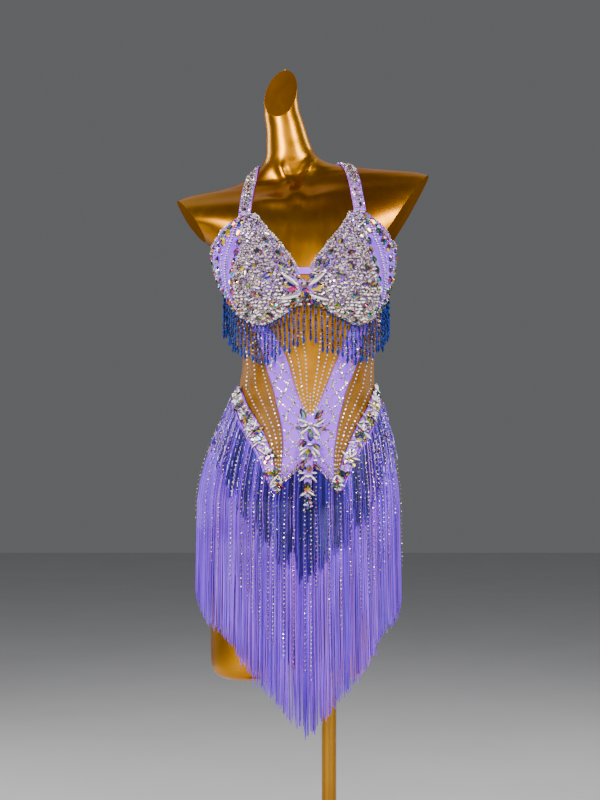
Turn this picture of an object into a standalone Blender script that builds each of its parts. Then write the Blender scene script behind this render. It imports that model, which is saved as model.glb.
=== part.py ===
"""A Latin dance dress on a limbless display form, at real size.

Blender 4.5 script, metres, +Z up. The dress faces -Y. The origin is the centre of the stand's
base plate where it meets the floor. Angles around the body are in degrees from the dress's
centre front, positive towards +X. Lengths along the body are heights above the floor.

Run with: blender --background --python part.py
"""

import math
from bisect import bisect_left
from collections import namedtuple
from functools import lru_cache

import bmesh
import bpy
from mathutils import Vector
from mathutils.bvhtree import BVHTree

# ---------------------------------------------------------------- driving dimensions
CLOTH = 0.0012          # stretch cloth and power mesh
STRAP_CLOTH = 0.0020    # doubled cloth
CUP_FOAM = 0.0040       # moulded cup with its cover
EASE = 0.0010           # air between the form and the cloth
SEAM = 0.0004           # gap between two pieces along a seam
LEAST_AIR = 0.0006      # and never less than this anywhere
LAYER_AIR = 0.0010      # air between one layer of fringe and the next
SLIP_EASE = 0.0018      # the slip is cut a little looser
EDGE_GAP = 0.0010       # gap under the cups and at the strap ends, where outlines differ

STRAP_WIDTH = 0.0195
BAND_TOP = 1.2070
BAND_BOTTOM = 1.1740
BAND_START = 87.5       # the back band begins here, just behind the cups

HIP_HEIGHT = 0.820      # below the fullest hip everything hangs straight down
FLARE = 0.02            # how far hanging pieces spread, for their length
HIP_STEPS = 4           # the cloth's facets between the hip seam and the fullest hip
SLIP_HEM = 0.700        # hem of the under-skirt that the fringe hides
SHOULDER_SPAN = 0.4250
NECK_TOP_HEIGHT = 1.5165
ARM_CUT_TOP = 1.356
ARM_CUT_BOTTOM = 1.245
ARM_CUT_SLANT = 0.58    # the cut leans in towards the armpit
ARM_CUT_TURN = 0.20     # and faces a little forward

STRIP_HEIGHT = 0.0050   # woven heading that carries a row of fringe
STRIP_THICK = 0.0016
LONG_LOCKS = 100
SHORT_LOCKS = 44
BEAD_STRANDS = 60
LOCK_THICK = 0.0021
BEAD_THICK = 0.0030

BASE_RADIUS = 0.190
BASE_THICK = 0.006
BASE_CHAMFER = 0.002
POLE_RADIUS = 0.0125
COLLAR_RADIUS = 0.030
COLLAR_HEIGHT = 0.012
THIGH_BOTTOM = 0.521
SEAT_GAP = 0.0003       # faces that touch keep this gap

# ---------------------------------------------------------------- the form's sections
Section = namedtuple("Section", "height centre_x centre_y half_width front back turn")
BODY = (
    Section(0.700, -0.0560, 0.008, 0.070, 0.040, 0.050, 5),
    Section(0.712, -0.0560, 0.008, 0.120, 0.068, 0.078, 5),
    Section(0.735, -0.0550, 0.006, 0.150, 0.085, 0.097, 5),
    Section(0.770, -0.0535, 0.004, 0.163, 0.092, 0.108, 5),
    Section(0.820, -0.0520, 0.002, 0.1657, 0.096, 0.116, 5),
    Section(0.870, -0.0503, 0.000, 0.1580, 0.096, 0.112, 5),
    Section(0.920, -0.0462, 0.000, 0.1455, 0.093, 0.100, 5),
    Section(0.970, -0.0415, 0.000, 0.1270, 0.088, 0.087, 4),
    Section(1.015, -0.0375, 0.000, 0.1125, 0.083, 0.079, 3),
    Section(1.050, -0.0350, 0.000, 0.109, 0.082, 0.077, 3),
    Section(1.080, -0.0335, 0.000, 0.111, 0.085, 0.078, 2),
    Section(1.115, -0.0345, 0.000, 0.119, 0.091, 0.082, 1),
    Section(1.150, -0.0370, 0.000, 0.127, 0.094, 0.087, 0),
    Section(1.186, -0.0405, 0.000, 0.141, 0.096, 0.091, 0),
    Section(1.220, -0.0425, 0.000, 0.150, 0.096, 0.094, 0),
    Section(1.245, -0.0430, 0.000, 0.156, 0.095, 0.094, 0),
    Section(1.275, -0.0435, 0.003, 0.190, 0.091, 0.091, 0),
    Section(1.305, -0.0440, 0.008, 0.222, 0.082, 0.086, 0),
    Section(1.332, -0.0440, 0.014, 0.228, 0.067, 0.075, 0),
    Section(1.348, -0.0440, 0.020, 0.222, 0.053, 0.062, 0),
    Section(1.358, -0.0450, 0.023, 0.200, 0.046, 0.054, 0),
    Section(1.366, -0.0480, 0.026, 0.152, 0.042, 0.048, 0),
    Section(1.374, -0.0580, 0.028, 0.102, 0.040, 0.045, 0),
    Section(1.383, -0.0665, 0.029, 0.0715, 0.040, 0.043, 0),
    Section(1.392, -0.0685, 0.029, 0.0570, 0.040, 0.042, 0),
    Section(1.402, -0.0680, 0.028, 0.0465, 0.040, 0.041, 0),
    Section(1.416, -0.0685, 0.027, 0.0395, 0.039, 0.040, 0),
    Section(1.432, -0.0710, 0.026, 0.0360, 0.037, 0.038, 0),
    Section(1.458, -0.0750, 0.024, 0.0322, 0.035, 0.036, 0),
    Section(1.484, -0.0806, 0.023, 0.0298, 0.033, 0.034, 0),
    Section(1.512, -0.0822, 0.022, 0.0284, 0.032, 0.033, 0),
    Section(1.545, -0.0820, 0.021, 0.0275, 0.031, 0.032, 0),
    Section(1.600, -0.0790, 0.020, 0.0265, 0.030, 0.031, 0),
)
SHOULDER_TILT = 0.100   # the +X shoulder stands higher
NECK_TILT = 0.110       # and more so beside the neck
TILT_FROM, TILT_TO = 1.260, 1.360
BUST_MOUND = 0.034
MOUND_SPREAD = 0.056
MOUND_ACROSS = 0.074
MOUND_HEIGHT = 1.188
MOUND_SIDEWAYS = 0.30

Thigh = namedtuple("Thigh", "height centre_x centre_y half_width half_depth")
LEFT_THIGH = (
    Thigh(THIGH_BOTTOM, -0.1340, -0.004, 0.048, 0.050),
    Thigh(THIGH_BOTTOM + 0.007, -0.1340, -0.004, 0.0590, 0.061),
    Thigh(THIGH_BOTTOM + 0.022, -0.1340, -0.004, 0.0655, 0.068),
    Thigh(0.600, -0.1320, -0.002, 0.069, 0.073),
    Thigh(0.680, -0.1285, 0.002, 0.073, 0.080),
    Thigh(0.760, -0.1240, 0.006, 0.072, 0.084),
)
RIGHT_THIGH = (
    Thigh(THIGH_BOTTOM, 0.0000, 0.000, 0.048, 0.050),
    Thigh(THIGH_BOTTOM + 0.007, 0.0000, 0.000, 0.0590, 0.061),
    Thigh(THIGH_BOTTOM + 0.022, 0.0000, 0.000, 0.0655, 0.068),
    Thigh(0.600, 0.0050, 0.002, 0.071, 0.073),
    Thigh(0.680, 0.0130, 0.005, 0.074, 0.080),
    Thigh(0.760, 0.0200, 0.008, 0.073, 0.084),
)

# ---------------------------------------------------------------- lines of the cut
Line = namedtuple("Line", "angle height")
Edge = namedtuple("Edge", "height angle")
# lower edge of the bra, from centre front round to centre back
BRA_EDGE = (
    Line(0, 1.158), Line(6, 1.151), Line(16, 1.137), Line(27, 1.125), Line(38, 1.117),
    Line(47, 1.120), Line(58, 1.130), Line(68, 1.141), Line(78, 1.152), Line(88, 1.1725),
    Line(100, BAND_BOTTOM), Line(180, BAND_BOTTOM),
)
# hip seam: where the body ends and the fringe begins, a W across the front
HIP_SEAM = (
    Line(0, 0.8990), Line(7, 0.8800), Line(16, 0.8560), Line(23, 0.9000), Line(31, 0.9340),
    Line(41, 0.9590), Line(55, 0.9830), Line(70, 1.0040), Line(90, 1.0160),
    Line(130, 1.0160), Line(180, 1.0120),
)
# the heading of the fringe: along the hip seam in the middle, under the crystals at the sides
HEADING = (
    Line(0, 0.8980), Line(7, 0.8790), Line(16, 0.8545), Line(19.5, 0.8460), Line(24, 0.8640),
    Line(31, 0.8980), Line(41, 0.9260), Line(55, 0.9540), Line(70, 0.9800), Line(80, 0.9960),
    Line(90, 1.0080), Line(100, 1.0140), Line(130, 1.0140), Line(180, 1.0100),
)
# hems, in the same way
LONG_HEM = (
    Line(0, 0.4420), Line(11, 0.4750), Line(23.5, 0.5160), Line(35.5, 0.5530), Line(45.5, 0.5910),
    Line(52.5, 0.6100), Line(65, 0.6220), Line(76, 0.6440), Line(90, 0.6640), Line(120, 0.6620),
    Line(180, 0.6400),
)
SHORT_HEM = (
    Line(0, 0.6950), Line(13, 0.7350), Line(24, 0.7600), Line(35, 0.7950), Line(44, 0.8350),
    Line(60, 0.8900), Line(80, 0.9200), Line(90, 0.9250),
)
SHORT_END = 84          # the short fringe covers the front only
BEAD_END = 112          # the beaded fringe ends behind the side seam
BEAD_LENGTH = 0.054
COLUMN = (Edge(0.812, 2.0), Edge(0.840, 5.5), Edge(0.880, 9.2), Edge(0.945, 11.5), Edge(0.980, 6.5))
BOW_HALF = 13           # half the angle that the ornament between the cups takes
CRYSTAL_END = 80        # the hip crystals stop short of the side seam
STONE_EDGE = 0.0015     # bevel round each cut stone

MESH_APEX = 0.9600
# both edges of the lilac V band, from the hip seam up to the bra
V_INNER = (Edge(0.840, 0.15), Edge(MESH_APEX - 0.002, 0.15), Edge(MESH_APEX + 0.003, 1.4),
           Edge(1.0000, 10.5), Edge(1.0550, 21.5), Edge(1.1150, 34.0), Edge(1.180, 45.0))
V_OUTER = (Edge(0.840, 16.0), Edge(0.8980, 16.2), Edge(0.9380, 18.7), Edge(1.0000, 30.0),
           Edge(1.0610, 45.5), Edge(1.1150, 51.0), Edge(1.180, 56.0))
SIDE_SEAM = 90
SEAM_ANGLE = 0.12       # half a seam gap, as an angle
V_COLUMNS, SIDE_COLUMNS = 4, 8

# the left and right cup share one outline, mirrored: from the gore, up the neckline, round
CUP_OUTLINE = (
    Line(2.6, 1.1650), Line(3.0, 1.1860), Line(4.2, 1.2080), Line(7.0, 1.2230),
    Line(11.5, 1.2390), Line(16.5, 1.2610), Line(19.5, 1.2830), Line(21.0, 1.2990),
    Line(26.4, 1.2990), Line(33.0, 1.2900), Line(44.0, 1.2750), Line(57.0, 1.2600),
    Line(74.0, 1.2480), Line(84.0, 1.2280), Line(86.5, 1.2060), Line(86.0, 1.1860),
    Line(84.0, 1.1660), Line(78.0, 1.1524), Line(68.0, 1.1414), Line(58.0, 1.1304),
    Line(47.0, 1.1204), Line(38.0, 1.1174), Line(27.0, 1.1254), Line(16.0, 1.1374),
    Line(6.0, 1.1514),
)
StrapPoint = namedtuple("StrapPoint", "share left right")
STRAP_LINE = (          # distance from the shoulders' middle along the way from front to back
    StrapPoint(0.00, 0.0965, 0.0950), StrapPoint(0.20, 0.0912, 0.0840), StrapPoint(0.33, 0.0868, 0.0765),
    StrapPoint(0.43, 0.0835, 0.0715), StrapPoint(0.60, 0.0690, 0.0600), StrapPoint(1.00, 0.0480, 0.0480),
)
STRAP_FOOT = 1.3010
STRAP_FAN = 1.3450
STRAP_FAN_Y = 0.022
CUP_CENTRE = Line(36.0, 1.1950)
CUP_RINGS = (0.20, 0.40, 0.60, 0.78, 0.91, 1.0)

LILAC = (0.36, 0.22, 0.78)
TAN = (0.50, 0.27, 0.06)
GOLD = (0.60, 0.33, 0.03)
ROYAL = (0.03, 0.07, 0.40)
INDIGO = (0.10, 0.08, 0.55)
CRYSTAL = (0.75, 0.72, 0.80)


# ---------------------------------------------------------------- small tools
def curve(xs, ys):
    """A smooth curve through the points that never overshoots them, as a function."""
    slopes = [(y1 - y0) / (x1 - x0) for x0, x1, y0, y1 in zip(xs, xs[1:], ys, ys[1:])]
    tangents = [slopes[0]]
    for before, after in zip(slopes, slopes[1:]):
        rising = before * after > 0
        tangents.append(2 * before * after / (before + after) if rising else 0.0)
    tangents.append(slopes[-1])

    def value(at):
        if at <= xs[0]:
            return ys[0]
        if at >= xs[-1]:
            return ys[-1]
        k = bisect_left(xs, at) - 1
        width = xs[k + 1] - xs[k]
        t = (at - xs[k]) / width
        return (ys[k] * (1 + 2 * t) * (1 - t) ** 2 + ys[k + 1] * t * t * (3 - 2 * t)
                + width * t * (1 - t) * (tangents[k] * (1 - t) - tangents[k + 1] * t))
    return value


@lru_cache(maxsize=None)
def table_curve(table, key, column):
    return curve([getattr(row, key) for row in table], [getattr(row, column) for row in table])


def read(table, key, column, at):
    return table_curve(table, key, column)(at)


def line_height(line, angle):
    """Height of a cut line at an angle on either side of the centre front."""
    return read(line, "angle", "height", abs((angle + 180) % 360 - 180))


def eased(low, high, at):
    t = min(1.0, max(0.0, (at - low) / (high - low)))
    return t * t * (3 - 2 * t)


def finish(name, bm, colour, roughness, metallic=0.0):
    """Makes the bmesh an object of the dress, with its own material."""
    mesh = bpy.data.meshes.new(name)
    bm.to_mesh(mesh)
    bm.free()
    mesh.shade_smooth()
    mesh.set_sharp_from_angle(angle=math.radians(35))
    piece = bpy.data.objects.new(name, mesh)
    DRESS.objects.link(piece)
    material = bpy.data.materials.new(name)
    material.use_nodes = True
    shader = material.node_tree.nodes["Principled BSDF"]
    shader.inputs["Base Color"].default_value = (*colour, 1)
    shader.inputs["Roughness"].default_value = roughness
    shader.inputs["Metallic"].default_value = metallic
    mesh.materials.append(material)
    return piece


def solidified(piece, thickness):
    """Gives an open surface its wall, built outwards."""
    modifier = piece.modifiers.new("wall", "SOLIDIFY")
    modifier.thickness = thickness
    modifier.offset = 1
    return piece


def lift(bm):
    """Eases a surface off the form wherever its flat faces would cut into the form."""
    for _ in range(5):
        spans = [(edge.verts, (edge.verts[0].co + edge.verts[1].co) / 2) for edge in bm.edges]
        spans += [(face.verts, face.calc_center_median()) for face in bm.faces]
        for corners, middle in spans:
            surface, normal, _, _ = FORM.find_nearest(middle)
            short = LEAST_AIR - (middle - surface).dot(normal)
            if short > 0:
                for corner in corners:
                    corner.co += normal * short


def lofted(rows, around=False):
    """An open surface over rows of points. Rows run upwards and each row towards +angle."""
    bm = bmesh.new()
    rings = [[bm.verts.new(point) for point in row] for row in rows]
    for lower, upper in zip(rings, rings[1:]):
        for i in range(len(lower) - (not around)):
            j = (i + 1) % len(lower)
            bm.faces.new((lower[i], lower[j], upper[j], upper[i]))
    return bm


# ---------------------------------------------------------------- the body's surface
def tilt(height, across):
    """How much higher a point stands because the shoulders lean."""
    lean = SHOULDER_TILT * eased(TILT_FROM, TILT_TO, height)
    lean += NECK_TILT * math.exp(-(across / 0.12) ** 2) * eased(TILT_TO - 0.04, TILT_TO + 0.01, height)
    return lean * across


def section_point(angle, height):
    """Point of the form's surface. The sections are two half ellipses, turned a little."""
    turned = math.radians(angle + read(BODY, "height", "turn", height))
    forward = math.cos(turned)
    depth = read(BODY, "height", "front" if forward > 0 else "back", height)
    centre_x = read(BODY, "height", "centre_x", height)
    x = centre_x + read(BODY, "height", "half_width", height) * math.sin(turned)
    y = read(BODY, "height", "centre_y", height) - depth * forward
    if forward > 0:
        for side in (-1, 1):
            across = x - centre_x - side * MOUND_ACROSS
            reach = (across ** 2 + (height - MOUND_HEIGHT) ** 2) / MOUND_SPREAD ** 2
            swell = BUST_MOUND * math.exp(-reach) * min(1.0, 2 * forward)
            x += side * MOUND_SIDEWAYS * swell
            y -= swell
    return Vector((x, y, height + tilt(height, x - centre_x)))


def skin(angle, height, out=0.0):
    """Point at a distance out from the form, along its normal."""
    here = section_point(angle, height)
    if not out:
        return here
    around = section_point(angle + 1, height) - section_point(angle - 1, height)
    up = section_point(angle, height + 0.002) - section_point(angle, height - 0.002)
    return here + around.cross(up).normalized() * out


def hang(angle, height, out, leaves=HIP_HEIGHT):
    """As skin, but what lies below the height where it leaves the body falls almost straight."""
    if height >= leaves:
        return skin(angle, height, out)
    point = skin(angle, leaves, out)
    away = Vector((point.x - read(BODY, "height", "centre_x", leaves), point.y, 0)).normalized()
    return point + away * FLARE * (leaves - height) + Vector((0, 0, height - leaves))


def even(count):
    return [i / count for i in range(count + 1)]


def even_levels(rows):
    """Heights of a panel's rows, evenly spaced between its bottom and its top."""
    return lambda bottom, top: [bottom + (top - bottom) * share for share in even(rows)]


def hip_levels(steps):
    """Rows for what hangs from the hip seam: over the hips in equal steps, then straight down."""
    def levels(bottom, top):
        low = max(HIP_HEIGHT, bottom)
        over_hips = [low + (top - low) * share for share in even(steps)]
        return [bottom] + over_hips if bottom < low else over_hips
    return levels


def panel(name, left, right, bottom, top, columns, levels, colour, out=EASE, thickness=CLOTH, place=skin):
    """A piece of cloth between two side edges and two level lines. left and right give an angle
    at a height, bottom and top a height at an angle, and columns the shares of the width."""
    rows = len(levels(bottom(0.0), top(0.0)))
    grid = [[] for _ in range(rows)]
    for across in columns:
        for r in range(rows):
            angle, height = 0.0, 1.0
            for _ in range(12):  # the edges depend on each other, so they are settled in turns
                angle = left(height) + (right(height) - left(height)) * across
                height = levels(bottom(angle), top(angle))[r]
            grid[r].append(place(angle, height, out))
    bm = lofted(grid)
    lift(bm)
    return solidified(finish(name, bm, colour, 0.6), thickness)


def edge_angle(edge, height, moved=0.0):
    """Angle of a seam at a height, moved sideways by a real distance."""
    angle = read(edge, "height", "angle", height)
    return angle + math.degrees(moved / read(BODY, "height", "half_width", height))


# ---------------------------------------------------------------- form and stand
def ellipse_ring(row, count):
    turns = (2 * math.pi * i / count for i in range(count))
    return [Vector((row.centre_x + row.half_width * math.sin(t),
                    row.centre_y - row.half_depth * math.cos(t), row.height)) for t in turns]


def closed_loft(rows):
    bm = lofted(rows, around=True)
    bmesh.ops.holes_fill(bm, edges=[e for e in bm.edges if e.is_boundary])
    bmesh.ops.recalc_face_normals(bm, faces=bm.faces)
    return bm


def cut_flat(bm, point, normal):
    """Cuts off what lies beyond a plane and closes the cut with a flat face."""
    geometry = bm.verts[:] + bm.edges[:] + bm.faces[:]
    bmesh.ops.bisect_plane(bm, geom=geometry, plane_co=point, plane_no=normal, clear_outer=True)
    bmesh.ops.holes_fill(bm, edges=[e for e in bm.edges if e.is_boundary])
    bmesh.ops.recalc_face_normals(bm, faces=bm.faces)


def arm_cut(point, height):
    """Flattens the shoulder's end onto the slanted plane where an arm would begin."""
    centre_x = shoulder_centre()
    side = 1 if point.x > centre_x else -1
    tip_z = ARM_CUT_TOP + side * SHOULDER_TILT * SHOULDER_SPAN / 2
    limit = SHOULDER_SPAN / 2 + ARM_CUT_SLANT * (point.z - tip_z) + ARM_CUT_TURN * point.y
    if height >= ARM_CUT_BOTTOM and abs(point.x - centre_x) > limit:
        point.x = centre_x + side * limit
    return point


def make_form():
    """Torso, neck and shoulder stubs in one loft, joined with two thigh stubs."""
    around = 28
    heights = [row.height for row in BODY]
    heights += [(a + b) / 2 for a, b in zip(heights[4:8], heights[5:9])]
    heights += [(a + b) / 2 for a, b in zip(heights[11:16], heights[12:17])]
    rows = [[arm_cut(section_point(360 * i / around, h), h) for i in range(around)]
            for h in sorted(heights)]
    bm = closed_loft(rows)
    neck = Vector((read(BODY, "height", "centre_x", NECK_TOP_HEIGHT),
                   read(BODY, "height", "centre_y", NECK_TOP_HEIGHT), NECK_TOP_HEIGHT))
    cut_flat(bm, neck, Vector((-0.455, -1.385, 1.0)))
    form = finish("display_form", bm, GOLD, 0.25, 1.0)
    for name, table in (("thigh_left", LEFT_THIGH), ("thigh_right", RIGHT_THIGH)):
        stub = finish(name, closed_loft([ellipse_ring(row, 24) for row in table]), GOLD, 0.25, 1.0)
        joined = form.modifiers.new(name, "BOOLEAN")
        joined.operation = "UNION"
        joined.object = stub
        DRESS.objects.unlink(stub)
        CUTTERS.objects.link(stub)
        stub.hide_render = True
        stub.display_type = "WIRE"
    return form


def turned_piece(name, profile, colour, steps=32):
    """A round piece on the pole's axis, from a profile of (radius, height) read top to bottom."""
    mesh = bpy.data.meshes.new(name)
    mesh.from_pydata([(r, 0, z) for r, z in profile], [(i, i + 1) for i in range(len(profile) - 1)], [])
    bm = bmesh.new()
    bm.from_mesh(mesh)
    bpy.data.meshes.remove(mesh)
    piece = finish(name, bm, colour, 0.3, 1.0)
    screw = piece.modifiers.new("turn", "SCREW")
    screw.steps = steps
    screw.render_steps = steps
    screw.use_smooth_shade = True
    screw.use_merge_vertices = True
    screw.merge_threshold = 0.00005
    return piece


def make_stand():
    base_top = BASE_THICK
    turned_piece("base_plate", [(0, base_top), (BASE_RADIUS - BASE_CHAMFER, base_top),
                                (BASE_RADIUS, base_top - BASE_CHAMFER), (BASE_RADIUS, 0), (0, 0)], GOLD, 48)
    pole_foot = base_top + SEAT_GAP
    pole_top = THIGH_BOTTOM - SEAT_GAP
    collar_under = pole_top - COLLAR_HEIGHT
    collar_over = pole_foot + COLLAR_HEIGHT
    turned_piece("pole", [(0, pole_top), (COLLAR_RADIUS, pole_top), (COLLAR_RADIUS, collar_under),
                          (POLE_RADIUS, collar_under), (POLE_RADIUS, collar_over),
                          (COLLAR_RADIUS, collar_over), (COLLAR_RADIUS, pole_foot), (0, pole_foot)],
                 GOLD, 24)


# ---------------------------------------------------------------- cups, gore, straps and band
def cup_point(side, ring, line, out):
    angle = CUP_CENTRE.angle + (line.angle - CUP_CENTRE.angle) * ring
    height = CUP_CENTRE.height + (line.height - CUP_CENTRE.height) * ring
    return skin(side * angle, height, out)


def make_cup(name, side):
    """A moulded cup: rings of points from its fullest point out to its outline."""
    bm = bmesh.new()
    centre = bm.verts.new(cup_point(side, 0, CUP_OUTLINE[0], EASE))
    rings = [[bm.verts.new(cup_point(side, ring, line, EASE)) for line in CUP_OUTLINE]
             for ring in CUP_RINGS]
    count = len(CUP_OUTLINE)
    for i in range(count):
        j = (i + 1) % count
        bm.faces.new((centre, rings[0][j], rings[0][i]))
        for inner, outer in zip(rings, rings[1:]):
            bm.faces.new((inner[i], inner[j], outer[j], outer[i]))
    if side < 0:
        bmesh.ops.reverse_faces(bm, faces=bm.faces)
    lift(bm)
    return solidified(finish(name, bm, LILAC, 0.45), CUP_FOAM)


def make_strap(name, side):
    """A strap from the cup's peak over the shoulder to the back band, laid on the form along
    rays from inside it: level rays up the chest, a fan over the shoulder, level rays down the back."""
    path = [(STRAP_FOOT + (STRAP_FAN - STRAP_FOOT) * share, 0) for share in even(3)]
    path += [(STRAP_FAN, 180 * share) for share in even(12)[1:]]
    path += [(STRAP_FAN + (BAND_TOP + EDGE_GAP - STRAP_FAN) * share, 180) for share in even(6)[1:]]
    bm_rows = []
    for step, (height, turn) in enumerate(path):
        share = step / (len(path) - 1)
        across = side * read(STRAP_LINE, "share", "left" if side < 0 else "right", share)
        ray = Vector((0, -math.cos(math.radians(turn)), math.sin(math.radians(turn))))
        row = []
        for c in (-0.5, 0, 0.5):
            aside = across + STRAP_WIDTH * c
            start = Vector((shoulder_centre() + aside, STRAP_FAN_Y, height + tilt(height, aside)))
            hit, normal, _, _ = FORM.ray_cast(start, ray)
            row.append(hit + normal * EASE)
        bm_rows.append(row)
    bm = lofted(bm_rows)
    lift(bm)
    return solidified(finish(name, bm, LILAC, 0.45), STRAP_CLOTH)


def shoulder_centre():
    return read(BODY, "height", "centre_x", 1.33)


def gore_half(height):
    """Half the angle between the cups, less a seam's gap."""
    return 3.60 + (height - 1.2020) * 80


def make_gore():
    """The short band that joins the cups at the centre front."""
    panel("gore", lambda h: -gore_half(h), gore_half, lambda a: 1.2020, lambda a: 1.2100, even(2),
          even_levels(1), LILAC, thickness=STRAP_CLOTH)


def make_back_band():
    panel("back_band", lambda h: BAND_START, lambda h: 360 - BAND_START, lambda a: BAND_BOTTOM + EDGE_GAP,
          lambda a: BAND_TOP, even(18), even_levels(2), LILAC, thickness=STRAP_CLOTH)


# ---------------------------------------------------------------- the body between bra and hips
def bra_line(angle):
    return line_height(BRA_EDGE, angle) - EDGE_GAP


def hip_line(angle):
    return line_height(HIP_SEAM, angle)


def above_hip(angle):
    return hip_line(angle) + SEAM


def below_hip(angle):
    return hip_line(angle) - 2.5 * SEAM


def heading_line(angle):
    return line_height(HEADING, angle)


def between(inner, outer, side):
    """The two edges of a piece on one side of the body, in the order of rising angle."""
    edges = [lambda h: side * inner(h), lambda h: side * outer(h)]
    return edges if side > 0 else edges[::-1]


def make_body():
    half = SEAM / 2
    panel("front_mesh", lambda h: -edge_angle(V_INNER, h, -half), lambda h: edge_angle(V_INNER, h, -half),
          lambda a: MESH_APEX + 0.004, bra_line, even(8), even_levels(9), TAN)
    for side, label in ((-1, "left"), (1, "right")):
        start, end = between(lambda h: edge_angle(V_INNER, h, half),
                             lambda h: edge_angle(V_OUTER, h, -half), side)
        panel("v_panel_" + label, start, end, above_hip, bra_line, even(V_COLUMNS), even_levels(12), LILAC)
        start, end = between(lambda h: edge_angle(V_OUTER, h, half), lambda h: SIDE_SEAM - SEAM_ANGLE, side)
        panel("side_mesh_" + label, start, end, above_hip, bra_line, even(SIDE_COLUMNS),
              even_levels(12), TAN)
    panel("back_mesh", lambda h: SIDE_SEAM + SEAM_ANGLE, lambda h: 360 - SIDE_SEAM - SEAM_ANGLE, above_hip,
          lambda a: bra_line(a) - SEAM, even(16), even_levels(6), TAN)


def make_slip():
    """The under-skirt that the hip fringe is sewn over, cut as a front and a back. The front's
    columns meet those of the pieces above it, so that both keep the same seam."""
    edge = SIDE_SEAM - SEAM_ANGLE
    low = line_height(HIP_SEAM, 16)
    inner, outer, beyond = (edge_angle(seam, low, moved) for seam, moved in
                            ((V_INNER, SEAM / 2), (V_OUTER, -SEAM / 2), (V_OUTER, SEAM / 2)))
    right = [inner + (outer - inner) * share for share in even(V_COLUMNS)[1:]]
    right += [beyond + (edge - beyond) * share for share in even(SIDE_COLUMNS)[1:]]
    angles = [-a for a in reversed(right)] + [0] + right
    panel("slip_front", lambda h: -edge, lambda h: edge, lambda a: SLIP_HEM, below_hip,
          [(a + edge) / 2 / edge for a in angles], hip_levels(HIP_STEPS), LILAC, out=SLIP_EASE, place=hang)
    panel("slip_back", lambda h: SIDE_SEAM + SEAM_ANGLE, lambda h: 360 - SIDE_SEAM - SEAM_ANGLE,
          lambda a: SLIP_HEM, below_hip, even(16), hip_levels(HIP_STEPS), LILAC, out=SLIP_EASE, place=hang)


# ---------------------------------------------------------------- fringes
def make_fringe(name, angles, top, hem, out, depth, fill, levels, colour, taper, leaves=None):
    """A row of fringe: a woven heading along a line, with one lock growing down from under each
    of its stretches. angles are the heading's divisions, and fill is a lock's share of one."""
    closed = abs(angles[-1] - angles[0]) > 359.9
    places = angles[:-1] if closed else angles
    corners = ((STRIP_HEIGHT, 0), (0, 0), (0, STRIP_THICK), (STRIP_HEIGHT, STRIP_THICK))
    bm = bmesh.new()
    rails = [[bm.verts.new(hang(a, top(a) - drop, out + deep)) for a in places] for drop, deep in corners]
    for k, (a, b) in enumerate(zip(angles, angles[1:])):
        j = (k + 1) % len(places)
        for low, high in zip(rails, rails[1:]):
            bm.faces.new((low[k], low[j], high[j], high[k]))
        ring = [rails[0][k], rails[0][j], rails[3][j], rails[3][k]]
        middle = (a + b) / 2
        root = top(middle) - STRIP_HEIGHT
        heights = levels(hem(middle, k), root)
        for height in reversed(heights[:-1]):
            half = (b - a) / 2 * fill * (taper if height == heights[0] else 1)
            ends = ((-half, 0), (half, 0), (half, depth), (-half, depth))
            lower = [bm.verts.new(hang(middle + aside, height, out + deep, leaves or root))
                     for aside, deep in ends]
            for n in range(4):
                bm.faces.new((ring[n], ring[n - 1], lower[n - 1], lower[n]))
            ring = lower
        bm.faces.new(ring)
    if not closed:
        bm.faces.new([rail[0] for rail in rails])
        bm.faces.new([rail[-1] for rail in rails])
    bmesh.ops.recalc_face_normals(bm, faces=bm.faces)
    return finish(name, bm, colour, 0.5)


def spread(start, end, count):
    return [start + (end - start) * i / count for i in range(count + 1)]


def uneven(k, amount):
    """A small fixed unevenness, as cut fringe has."""
    return amount * math.sin(k * 2.4) * math.cos(k * 0.9)


ON_BODY = EASE + CLOTH + 1.5 * LAYER_AIR
ON_SLIP = SLIP_EASE + CLOTH + 1.5 * LAYER_AIR
ON_LONG = ON_SLIP + LOCK_THICK + LAYER_AIR
ON_SHORT = ON_LONG + LOCK_THICK + LAYER_AIR


def make_fringes():
    make_fringe("beaded_fringe", spread(-BEAD_END, BEAD_END, BEAD_STRANDS),
                lambda a: bra_line(a) - EDGE_GAP,
                lambda a, k: bra_line(a) - BEAD_LENGTH + uneven(k, 0.002), ON_BODY, BEAD_THICK, 0.42,
                even_levels(2), ROYAL, 0.7)
    make_fringe("long_fringe", spread(0, 360, LONG_LOCKS), heading_line,
                lambda a, k: line_height(LONG_HEM, a) + uneven(k, 0.006), ON_SLIP, LOCK_THICK, 0.80,
                hip_levels(HIP_STEPS), LILAC, 0.8, HIP_HEIGHT)
    make_fringe("short_fringe", spread(-SHORT_END, SHORT_END, SHORT_LOCKS),
                lambda a: heading_line(a) - 0.001,
                lambda a, k: line_height(SHORT_HEM, a) + uneven(k, 0.008), ON_LONG,
                LOCK_THICK, 0.74, hip_levels(HIP_STEPS - 1), INDIGO, 0.8, HIP_HEIGHT)


# ---------------------------------------------------------------- crystal work
def studded(name, left, right, bottom, top, columns, rows, out, raised, place=skin):
    """A backing with a row of cut stones: each outer cell is drawn in and raised to a facet."""
    piece = panel(name, left, right, bottom, top, even(columns), even_levels(rows), CRYSTAL, out,
                  place=place)
    bm = bmesh.new()
    bm.from_mesh(piece.data)
    bmesh.ops.solidify(bm, geom=bm.faces[:], thickness=-CLOTH)
    bmesh.ops.recalc_face_normals(bm, faces=bm.faces)
    bm.normal_update()
    axis = Vector((read(BODY, "height", "centre_x", 1.0), 0, 0))
    outward = [face for face in bm.faces if faces_out(face, axis)]
    bmesh.ops.inset_individual(bm, faces=outward, thickness=STONE_EDGE, depth=raised)
    piece.modifiers.clear()
    bm.to_mesh(piece.data)
    bm.free()
    return piece


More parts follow.
